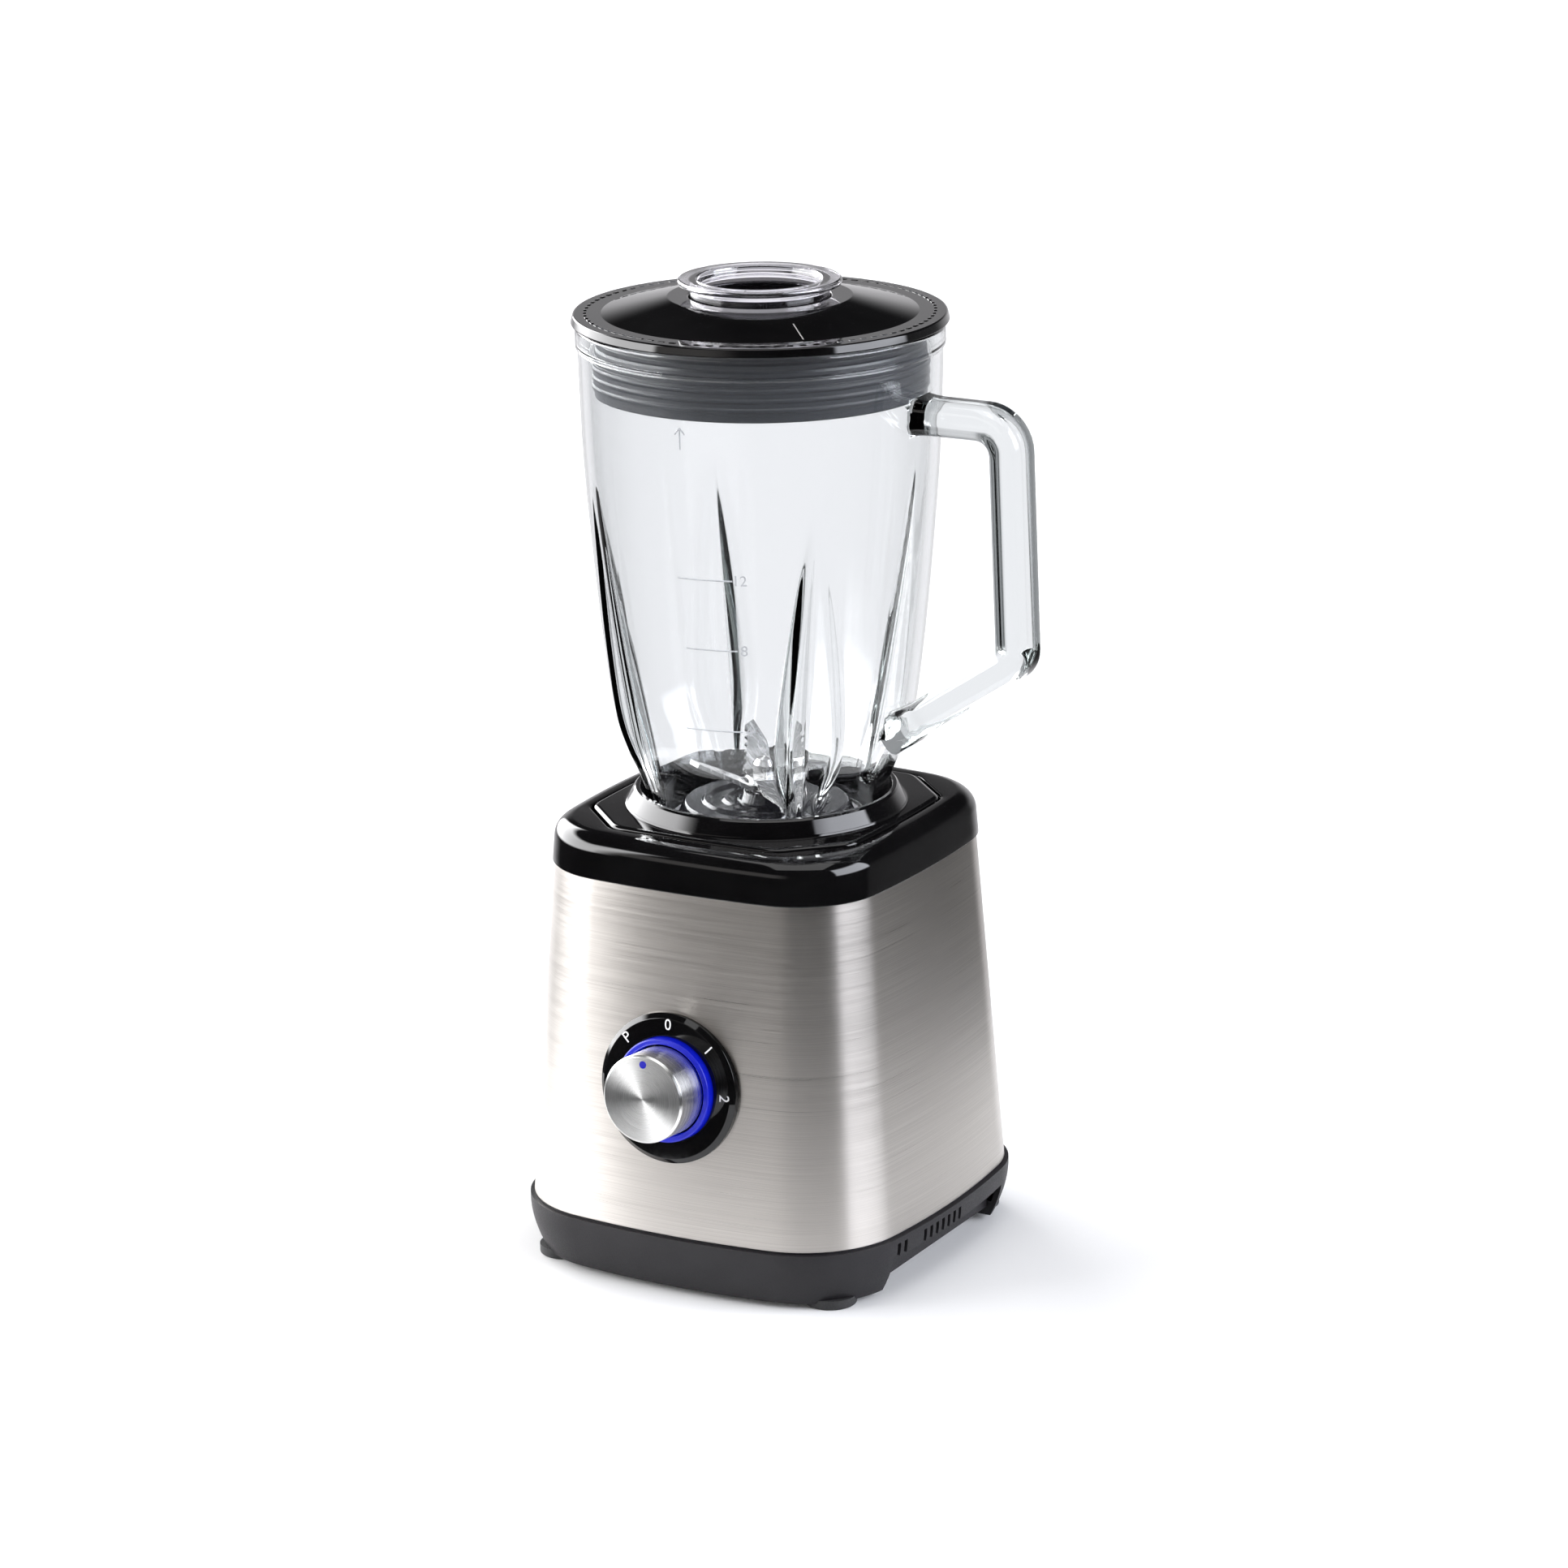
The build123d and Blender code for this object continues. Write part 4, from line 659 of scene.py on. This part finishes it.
def buildKnob():
    d = dial
    inner, edge = d["knob"] - d["knobWall"], d["knobEdge"]
    top, under = d["knobFace"], d["knobFace"] - d["knobWall"]
    side = [(inner, d["knobSkirt"], 0.2), (d["knob"], d["knobSkirt"], 0.3),
            (d["knob"], top - edge, 0.25), (d["knob"] - edge, top, 0.25)]
    face = [(radius, top, 0) for radius in (*d["faceRings"], onAxis)]
    profile = softened(side + face + [(onAxis, under, 0), (inner, under, 0.3)])
    piece = makePiece("knobShell", *skin(turn(profile, 192), "ring"), dialPlace, 30)
    # pocket for the marker
    pocket = skin(turn([(d["marker"], d["knobSkirt"]), (d["marker"], top + 8)], 48), "capped")
    place = dialPlace @ Matrix.Translation((0, d["markerRadius"] * mm, 0))
    carve(piece, makePiece("punch", *pocket, place), "DIFFERENCE")
    smooth(piece, 30)
    dress(piece, knobMetal, "knob", ["knob_cap"])


def writeLabel(name, text, height, place, material, body):
    # upright numeral or letter, as a thin plate on its surface
    curve = bpy.data.curves.new(name, "FONT")
    curve.body = text
    curve.align_x = "CENTER"
    curve.align_y = "CENTER"
    curve.size = height * lettering["sizePerHeight"] * mm
    curve.extrude = lettering["thick"] * mm
    written = bpy.data.objects.new(name, curve)
    shelf.link(written)
    graph = bpy.context.evaluated_depsgraph_get()
    mesh = bpy.data.meshes.new_from_object(written.evaluated_get(graph))
    bpy.data.objects.remove(written)
    piece = bpy.data.objects.new(name, mesh)
    shelf.link(piece)
    piece.matrix_world = place
    dress(piece, material, body)


def buildLabels():
    outward = Matrix.Translation((0, dial["labelRadius"] * mm, dial["bezelFace"] * mm))
    for text, degrees in dialLabels:
        place = dialPlace @ Matrix.Rotation(-radians(degrees), 4, "Z") @ outward
        writeLabel("dialLabel" + text, text, dial["labelHeight"], place, printWhite, "base")


buildBezel()
buildLightRing()
buildKnob()
buildLabels()
print("dial built")


# glass jug

jug = {"wall": 4.4, "neck": 48.0, "neckBottom": 174.0, "rim": 378.2, "rimBand": 9.8, "rimProud": 1.0,
       "outline": ((174.0, 48.0), (186.0, 48.0), (188.5, 48.4), (197.5, 51.4), (206.0, 55.2), (219.0, 59.3),
                   (246.0, 63.2), (279.0, 66.6), (325.0, 70.2), (366.5, 71.6), (378.2, 71.7)),
       "ribBottom": (45.5, 188.5), "ribTop": (72.6, 330.0), "ribRidge": 4.9, "ribAngle": 47.0,
       "ribSoft": 1.0, "ridgeSoft": 7.0, "ribEdge": 1.0, "ribBack": 0.66, "ribFlank": 60.0, "rows": 90,
       "rowsLow": 186.5, "rowsHigh": 366.8, "brim": 71.6, "brimRound": 2.0, "mouth": 67.4,
       "mouthChamfer": 0.8}
grip = {"wide": 19.0, "deep": 13.6, "round": 4.5, "flare": 0.16, "flareLength": 12.0, "flareFrom": 9.0,
        "flarePower": 2.6,
        "route": ((60.0, 347.2, 0), (109.6, 347.2, 12.5), (112.8, 253.5, 7.0), (58.0, 217.4, 0))}


def ribRadius(angle, z, sink):
    # surface of the pressed V nearest this angle; far away it is out of reach
    (lowR, lowZ), (highR, highZ) = jug["ribBottom"], jug["ribTop"]
    nose = lowR - sink + (highR - lowR) * (z - lowZ) / (highZ - lowZ)
    off = abs((angle - radians(jug["ribAngle"]) + pi / 4) % (pi / 2) - pi / 4)
    soft = jug["ridgeSoft"] if sink else jug["ribSoft"]
    aside = sqrt((nose * sin(off)) ** 2 + soft * soft) - soft
    return nose + jug["ribBack"] + aside * (1 + nose * sin(off) / jug["ribFlank"])


def glassRadius(angle, z, inset):
    radius = throughPoints(jug["outline"], z) - inset
    if z < jug["neckBottom"] + 12:
        return radius
    sink = jug["ribRidge"] if inset else 0.0
    return softMin(radius, ribRadius(angle, z, sink), jug["ribEdge"])


def glassAngles():
    # close steps across each rib and wide ones between, in degrees
    angles = []
    for quarter in range(4):
        middle = jug["ribAngle"] + 90 * quarter
        angles += [middle - 45 + 2.5 * i for i in range(12)]
        angles += [middle - 15 + 0.6 * i for i in range(51)]
        angles += [middle + 17.5 + 2.5 * i for i in range(11)]
    return [radians(a) for a in angles]


def glassLoop(angles, z, inset):
    loop = []
    for angle in angles:
        r = glassRadius(angle, z, inset)
        loop.append((r * cos(angle), r * sin(angle), z))
    return loop


def plainLoop(angles, radius, z):
    return [(radius * cos(a), radius * sin(a), z) for a in angles]


def gripSolid():
    g = grip
    route = spanned(softened(g["route"], closed=False, steps=10), 2.0)
    halfDeep, halfWide = g["deep"] / 2, g["wide"] / 2
    ring = softened([(-halfDeep, -halfWide, g["round"]), (halfDeep, -halfWide, g["round"]),
                     (halfDeep, halfWide, g["round"]), (-halfDeep, halfWide, g["round"])], steps=5)
    lengths = [0.0]
    for a, b in zip(route, route[1:]):
        lengths.append(lengths[-1] + (b - a).length)
    loops = []
    for i, point in enumerate(route):
        ahead = (route[min(i + 1, len(route) - 1)] - route[max(i - 1, 0)]).normalized()
        side = Vector((-ahead.y, ahead.x))
        toEnd = min(lengths[i], lengths[-1] - lengths[i])
        near = max(0.0, 1 - max(0.0, toEnd - g["flareFrom"]) / g["flareLength"])
        grow = 1 + g["flare"] * near ** g["flarePower"]
        loops.append([(point.x + side.x * u * grow, v * grow, point.y + side.y * u * grow) for u, v in ring])
    return makePiece("grip", *skin(loops, "capped"))


def buildJug():
    j = jug
    angles = glassAngles()
    levels = [j["neckBottom"] + 0.5, 178, 182, 185.5]
    rise = j["rowsHigh"] - j["rowsLow"]
    levels += [j["rowsLow"] + rise * i / j["rows"] for i in range(j["rows"] + 1)]
    rim, brim, mouth, bandLow = j["rim"], j["brim"], j["mouth"], j["rim"] - j["rimBand"]
    proud = brim + j["rimProud"]
    outer = [plainLoop(angles, j["neck"] - 0.8, j["neckBottom"])]
    outer += [glassLoop(angles, z, 0.0) for z in levels]
    band = softened([(brim, bandLow - 0.9, 0), (brim + 0.02, bandLow, 0.8), (proud, bandLow + 0.6, 0.8),
                     (proud, rim, j["brimRound"]), (mouth, rim, 0)], closed=False)
    outer += [plainLoop(angles, radius, z) for radius, z in band[1:]]
    piece = makePiece("glassJug", *skin(outer, "capped"))
    carve(piece, gripSolid(), "UNION")
    hollow = [plainLoop(angles, j["neck"] - j["wall"], j["neckBottom"] - 2)]
    hollow += [glassLoop(angles, z, j["wall"]) for z in levels]
    wide = mouth + j["mouthChamfer"]
    hollow += [plainLoop(angles, radius, z) for radius, z in (
        (mouth - 0.2, 372.0), (mouth - 0.2, rim - 1), (mouth, rim - 0.4), (wide, rim + 0.2), (wide, rim + 2))]
    carve(piece, makePiece("hollow", *skin(hollow, "capped")), "DIFFERENCE")
    smooth(piece, 50)
    piece.visible_shadow = False
    dress(piece, jugGlass, "jug", ["glass_jar"])


scale = {"half": 0.32, "proud": 0.16, "sunk": 0.15, "text": 4.4, "textGap": 2.4,
         "lines": ((227.5, -1.0, 21.0, "4"), (261.0, 1.5, 20.0, "8"), (289.5, 0.0, 19.0, "12"))}
arrow = {"azimuth": 3.0, "low": 341.0, "high": 349.5, "head": 1.7, "rise": 2.6}


def onGlass(azimuth, z, proud):
    angle = radians(azimuth - 90)
    radius = glassRadius(angle, z, 0.0) + proud
    return Vector((radius * cos(angle), radius * sin(angle), z))


def stroke(name, knots):
    # raised line on the glass through (azimuth, height) points
    perDegree = radians(1) * glassRadius(radians(-90), knots[0][1], 0.0)
    flat = spanned([Vector((azimuth * perDegree, z)) for azimuth, z in knots], 1.0)
    loops = []
    for i, point in enumerate(flat):
        ahead = (flat[min(i + 1, len(flat) - 1)] - flat[max(i - 1, 0)]).normalized()
        side = Vector((-ahead.y, ahead.x)) * scale["half"]
        rows = ((1, -scale["sunk"]), (0.5, scale["proud"]), (-0.5, scale["proud"]), (-1, -scale["sunk"]))
        spots = [(point + side * share, proud) for share, proud in rows]
        loops.append([onGlass(at.x / perDegree, at.y, proud) for at, proud in spots])
    dress(makePiece(name, *skin(loops, "capped")), frostedMark, "jug")


def buildScale():
    for z, first, last, text in scale["lines"]:
        stroke("scaleLine" + text, [(first, z), (last, z)])
        azimuth = last + scale["textGap"]
        out = Vector((sin(radians(azimuth)), -cos(radians(azimuth)), 0))
        up = (onGlass(azimuth, z + 2, 0) - onGlass(azimuth, z - 2, 0)).normalized()
        along = up.cross(out).normalized()
        place = Matrix([along, up, along.cross(up)]).transposed().to_4x4()
        place.translation = onGlass(azimuth, z, 0.05) * mm
        writeLabel("scaleNumber" + text, text, scale["text"], place, frostedMark, "jug")
    a = arrow
    stroke("fillArrow", [(a["azimuth"], a["low"]), (a["azimuth"], a["high"])])
    for name, way in (("fillArrowLeft", -1), ("fillArrowRight", 1)):
        stroke(name, [(a["azimuth"] + way * a["head"], a["high"] - a["rise"]), (a["azimuth"], a["high"])])


bladeSeat = {"flange": 46.5, "dome": 36.0, "top": 184.0, "wall": 3.0, "hub": 9.0, "bush": 6.0,
             "hubLow": 175.2, "hubTop": 188.0, "low": 170.0, "lip": 2.0, "rings": (16.0, 24.0),
             "ringRise": 1.1}


def buildBladeSeat():
    # domed holder under the blades, with raised rings round its hub
    b = bladeSeat
    inner = b["dome"] - b["wall"]
    roof = b["top"] - b["wall"]
    upper = []
    for radius in sorted(b["rings"], reverse=True):
        upper += [(radius + 2.0, b["top"], 0.6), (radius + 0.8, b["top"] + b["ringRise"], 0.6),
                  (radius - 0.8, b["top"] + b["ringRise"], 0.6), (radius - 2.0, b["top"], 0.6)]
    profile = softened([
        (b["bush"], b["hubLow"], 0.3), (b["hub"], b["hubLow"], 0.3), (b["hub"], roof, 0.5),
        (inner - 3.0, roof, 2.0), (inner, b["low"] + 7.0, 2.0), (inner, b["low"], 0.3),
        (b["flange"], b["low"], 0.3), (b["flange"], b["low"] + b["lip"], 0.6),
        (b["dome"], b["low"] + b["lip"], 0.8), (b["dome"], b["top"] - 6.0, 2.0),
        (b["dome"] - 3.0, b["top"], 2.0)] + upper + [
        (b["hub"] + 2.0, b["top"], 1.0), (b["hub"], b["hubTop"], 0.6), (b["bush"], b["hubTop"], 0.3)])
    piece = makePiece("holderDome", *skin(turn(profile, 160), "ring"))
    dress(piece, holderGloss, "jug", ["blade_holder"])


buildJug()
buildScale()
buildBladeSeat()
print("glass jug built")


# lid, seal and measuring cap

lid = {"flange": 74.3, "flangeTop": 73.3, "under": 378.2, "thick": 3.6, "ring": 62.3, "crown": 36.3,
       "crownTop": 388.0, "wall": 2.6, "hole": 27.9, "tube": 30.2, "tubeBottom": 373.0, "plug": 65.4,
       "plugWall": 2.5, "plugBottom": 351.5, "sealLow": 354.6, "sealHigh": 365.6, "sealProud": 66.4,
       "sealBand": 65.9, "grooves": (368.6, 371.6, 374.6), "groove": 0.6,
       "dashes": 84, "dashRadius": 68.6, "dash": (2.9, 1.3, 0.28), "seamAzimuth": 45.0, "seam": (47.0, 60.5)}
cap = {"flange": 32.3, "top": 395.0, "thick": 2.6, "body": 27.4, "mouth": 23.4, "wall": 2.4,
       "bottom": 367.0, "cone": 6.0}


def buildLid():
    d = lid
    top = d["under"] + d["thick"]
    under = d["crownTop"] - d["wall"]
    plugIn = d["plug"] - d["plugWall"]
    rings = []
    for z in d["grooves"]:
        rings += [(d["plug"], z - 0.9, 0.2), (d["plug"] - d["groove"], z, 0.3), (d["plug"], z + 0.9, 0.2)]
    profile = softened([
        (d["hole"], d["tubeBottom"], 0.5), (d["tube"], d["tubeBottom"], 0.5), (d["tube"], under, 0.3),
        (d["crown"], under, 1.0), (d["ring"] - 1.0, top - d["wall"], 1.0),
        (plugIn, top - d["wall"], 0.5), (plugIn, d["plugBottom"], 0.6), (d["plug"], d["plugBottom"], 0.8)]
        + rings + [(d["plug"], d["under"], 0.2), (d["flange"], d["under"], 0.5), (d["flangeTop"], top, 0.9),
                   (d["ring"], top, 1.6), (d["crown"], d["crownTop"], 2.6), (d["hole"], d["crownTop"], 0.8)])
    piece = makePiece("lidShell", *skin(turn(profile, 224), "ring"), None, 50)
    dress(piece, glossBlack, "lid", ["lid"])
    # the plug below the flange is satin, like its seal
    piece.data.materials.append(sealBlack)
    for face in piece.data.polygons:
        spot = face.center / mm
        if spot.z < d["under"] - 0.1 and spot.xy.length > d["plug"] - 1.5:
            face.material_index = 1


def buildLidMarks():
    # plain dashes stand where a maker would mould its text
    d = lid
    length, width, height = d["dash"]
    top = d["under"] + d["thick"]
    verts, faces = [], []
    for step in range(d["dashes"]):
        around = Matrix.Rotation(2 * pi * step / d["dashes"], 3, "Z")
        for z, share in ((top - 0.1, 1.0), (top + height * 0.6, 0.9), (top + height, 0.6)):
            corners = ((-0.5, -0.5), (0.5, -0.5), (0.5, 0.5), (-0.5, 0.5))
            verts += [around @ Vector((d["dashRadius"] + x * width * share, y * length * share, z))
                      for x, y in corners]
        first = 12 * step
        for row in (first, first + 4):
            faces += [(row + j, row + (j + 1) % 4, row + 4 + (j + 1) % 4, row + 4 + j) for j in range(4)]
        faces += [tuple(range(first + 8, first + 12)), tuple(range(first + 3, first - 1, -1))]
    dress(makePiece("lidDashes", verts, faces), glossBlack, "lid")
    # moulding seam down the cone
    slope = (top - d["crownTop"]) / (d["ring"] - d["crown"])
    loops = []
    for i in range(13):
        radius = d["seam"][0] + (d["seam"][1] - d["seam"][0]) * i / 12
        z = d["crownTop"] + slope * (radius - d["crown"])
        loops.append([(radius, -0.35, z - 0.2), (radius, -0.16, z + 0.22),
                      (radius, 0.16, z + 0.22), (radius, 0.35, z - 0.2)])
    around = Matrix.Rotation(radians(d["seamAzimuth"] - 90), 4, "Z")
    dress(makePiece("lidSeam", *skin(loops, "capped"), around), seamGrey, "lid")


def buildLidSeal():
    d = lid
    pitch = (d["sealHigh"] - d["sealLow"]) / 3
    points = [(d["plug"], d["sealLow"], 0), (d["sealBand"], d["sealLow"], 0.2)]
    for step in range(3):
        z = d["sealLow"] + pitch * (step + 0.5)
        points += [(d["sealBand"], z - 1.0, 0.3), (d["sealProud"], z - 0.4, 0.4),
                   (d["sealProud"], z + 0.4, 0.4), (d["sealBand"], z + 1.0, 0.3)]
    points += [(d["sealBand"], d["sealHigh"], 0.2), (d["plug"], d["sealHigh"], 0)]
    piece = makePiece("sealBand", *skin(turn(softened(points, steps=4), 192), "ring"), None, 50)
    dress(piece, sealBlack, "lid", ["lid_seal"])


def buildCap():
    c = cap
    low, floor, inner = c["top"] - c["thick"], c["bottom"] + c["wall"], c["body"] - c["wall"]
    coneTop = c["bottom"] + c["cone"]
    profile = softened([
        (onAxis, c["bottom"], 0), (c["body"] - c["cone"], c["bottom"], 1.0), (c["body"], coneTop, 1.0),
        (c["body"], low, 0.5), (c["flange"], low, 1.1), (c["flange"], c["top"], 1.2),
        (c["mouth"] + 1.2, c["top"], 1.1), (c["mouth"], low - 0.4, 0.8), (inner, low - 2.2, 0.8),
        (inner, coneTop + 1.0, 1.0), (inner - c["cone"] + 1.0, floor, 1.0), (onAxis, floor, 0)])
    piece = makePiece("clearCap", *skin(turn(profile, 192), "ring"), None, 50)
    piece.visible_shadow = False
    dress(piece, capPlastic, "cap", ["measuring_cap"])


buildLid()
buildLidMarks()
buildLidSeal()
buildCap()
print("lid and cap built")


# studio

floorLook = {"near": 0.35, "far": 14.0, "dark": (0.90, 0.90, 0.90), "light": (0.93, 0.93, 0.93)}


def buildFloor():
    # one pale plane; only its middle shows in reflections, as on a small shooting table
    material, tree, shader = newMaterial("paleFloor", Roughness=0.7)
    toned(tree, shader, grain(tree, (1, 1, 1), 3.0), floorLook["dark"], floorLook["light"])
    around = [(cos(2 * pi * i / 64), sin(2 * pi * i / 64)) for i in range(64)]
    near = [Vector((x, y, 0)) * floorLook["near"] for x, y in around]
    far = [Vector((x, y, 0)) * floorLook["far"] for x, y in around]
    table = bpy.data.meshes.new("table")
    table.from_pydata(near, [], [tuple(range(64))])
    sweep = bpy.data.meshes.new("sweep")
    sweep.from_pydata(near + far, [], [(i, 64 + i, 64 + (i + 1) % 64, (i + 1) % 64) for i in range(64)])
    for mesh in (table, sweep):
        mesh.materials.append(material)
        ground = bpy.data.objects.new(mesh.name, mesh)
        shelf.link(ground)
        ground.visible_glossy = mesh is table
        ground.visible_transmission = mesh is table


softbox = {"azimuth": 29, "elevation": 84, "distance": 8.0, "size": (7.4, 7.4), "power": 300,
           "aimHeight": 0.18}
# light walls of the room: full out to the inner half width and gone at the outer, in degrees,
# with azimuths from -Y towards +X
walls = (
    {"azimuth": -86, "inner": 45, "outer": 50, "low": -2, "high": 34, "edge": 4, "light": (8.8, 8.8, 8.9)},
    {"azimuth": 102, "inner": 24, "outer": 28, "low": 8, "high": 42, "edge": 4, "light": (7.4, 7.6, 8.2)},
    {"azimuth": 209, "inner": 22, "outer": 50, "low": -38, "high": 13, "edge": 8,
     "light": (0.80, 0.79, 0.81)},
    {"azimuth": 150, "inner": 20, "outer": 30, "low": -30, "high": 13, "edge": 8,
     "light": (0.12, 0.12, 0.12)},
    {"azimuth": -26, "inner": 14, "outer": 44, "low": 5, "high": 24, "edge": 4, "light": (0.86, 0.83, 0.80)},
)
world = {"seen": (0.97, 0.97, 0.97), "fill": (0.02, 0.02, 0.021), "through": (0.41, 0.415, 0.43)}


def fromCentre(azimuth, elevation, distance):
    a, e = radians(azimuth), radians(elevation)
    return Vector((sin(a) * cos(e), -cos(a) * cos(e), sin(e))) * distance


def buildLights():
    light = bpy.data.lights.new("ceiling", "AREA")
    light.shape = "RECTANGLE"
    light.size, light.size_y = softbox["size"]
    light.energy = softbox["power"]
    lamp = bpy.data.objects.new("ceiling", light)
    shelf.link(lamp)
    outward = fromCentre(softbox["azimuth"], softbox["elevation"], softbox["distance"])
    lamp.location = outward + Vector((0, 0, softbox["aimHeight"]))
    lamp.rotation_euler = outward.to_track_quat("Z", "Y").to_euler()
    lamp.visible_camera = False
    sky = bpy.data.worlds.new("studio")
    bpy.context.scene.world = sky
    sky.use_nodes = True
    tree = sky.node_tree
    background = tree.nodes["Background"]
    way = add(tree, "TexCoord").outputs["Generated"]
    height = add(tree, "SeparateXYZ", Vector=way).outputs["Z"]
    level = add(tree, "VectorMath", {"operation": "MULTIPLY"}, i0=way, i1=(1, 1, 0)).outputs[0]
    level = add(tree, "VectorMath", {"operation": "NORMALIZE"}, i0=level).outputs[0]
    path = add(tree, "LightPath")
    through = add(tree, "VectorMath", {"operation": "SCALE"}, i0=world["through"],
                  Scale=path.outputs["Is Transmission Ray"]).outputs[0]
    total = add(tree, "VectorMath", {"operation": "ADD"}, i0=world["fill"], i1=through).outputs[0]
    for wall in walls:
        towards = fromCentre(wall["azimuth"], 0, 1)
        low, high, edge = wall["low"], wall["high"], wall["edge"]
        facing = add(tree, "VectorMath", {"operation": "DOT_PRODUCT"}, i0=level, i1=towards).outputs["Value"]
        lit = eased(tree, facing, cos(radians(wall["outer"])), cos(radians(wall["inner"])))
        above = eased(tree, height, sin(radians(low - edge)), sin(radians(low + edge)))
        below = eased(tree, height, sin(radians(high + edge)), sin(radians(high - edge)))
        lit = add(tree, "Math", {"operation": "MULTIPLY"}, i0=lit, i1=above).outputs[0]
        lit = add(tree, "Math", {"operation": "MULTIPLY"}, i0=lit, i1=below).outputs[0]
        glow = add(tree, "VectorMath", {"operation": "SCALE"}, i0=wall["light"], Scale=lit).outputs[0]
        total = add(tree, "VectorMath", {"operation": "ADD"}, i0=total, i1=glow).outputs[0]
    # sockets 6 and 7 are the colours of a Mix node, and output 2 is their mixture
    mix = add(tree, "Mix", {"data_type": "RGBA"}, Factor=path.outputs["Is Camera Ray"], i6=total,
              i7=(*world["seen"], 1))
    tree.links.new(mix.outputs[2], background.inputs["Color"])


def eased(tree, value, start, stop):
    # 0 at start and 1 at stop, softly between
    return add(tree, "MapRange", {"interpolation_type": "SMOOTHSTEP"}, Value=value, From_Min=start,
               From_Max=stop, To_Min=0.0, To_Max=1.0).outputs["Result"]


view = {"azimuth": 29.1, "elevation": 16.33, "roll": -0.69, "distance": 2.304, "lens": 132.2,
        "aimHeight": 0.1888, "aimAside": 0.0071}


def buildCamera():
    v = view
    back = fromCentre(v["azimuth"], v["elevation"], 1.0)
    aside = Vector((cos(radians(v["azimuth"])), sin(radians(v["azimuth"])), 0))
    up = back.cross(aside)
    roll = radians(v["roll"])
    right = aside * cos(roll) + up * sin(roll)
    upward = up * cos(roll) - aside * sin(roll)
    aim = Vector((0, 0, v["aimHeight"])) + aside * v["aimAside"]
    camera = bpy.data.objects.new("camera", bpy.data.cameras.new("camera"))
    shelf.link(camera)
    camera.data.lens = v["lens"]
    camera.data.sensor_width = 36
    camera.data.clip_end = 60
    turned = Matrix((right, upward, back)).transposed().to_4x4()
    turned.translation = aim + back * v["distance"]
    camera.matrix_world = turned
    bpy.context.scene.camera = camera


buildFloor()
buildLights()
buildCamera()
bpy.context.scene.view_settings.view_transform = "Standard"
print("studio set")
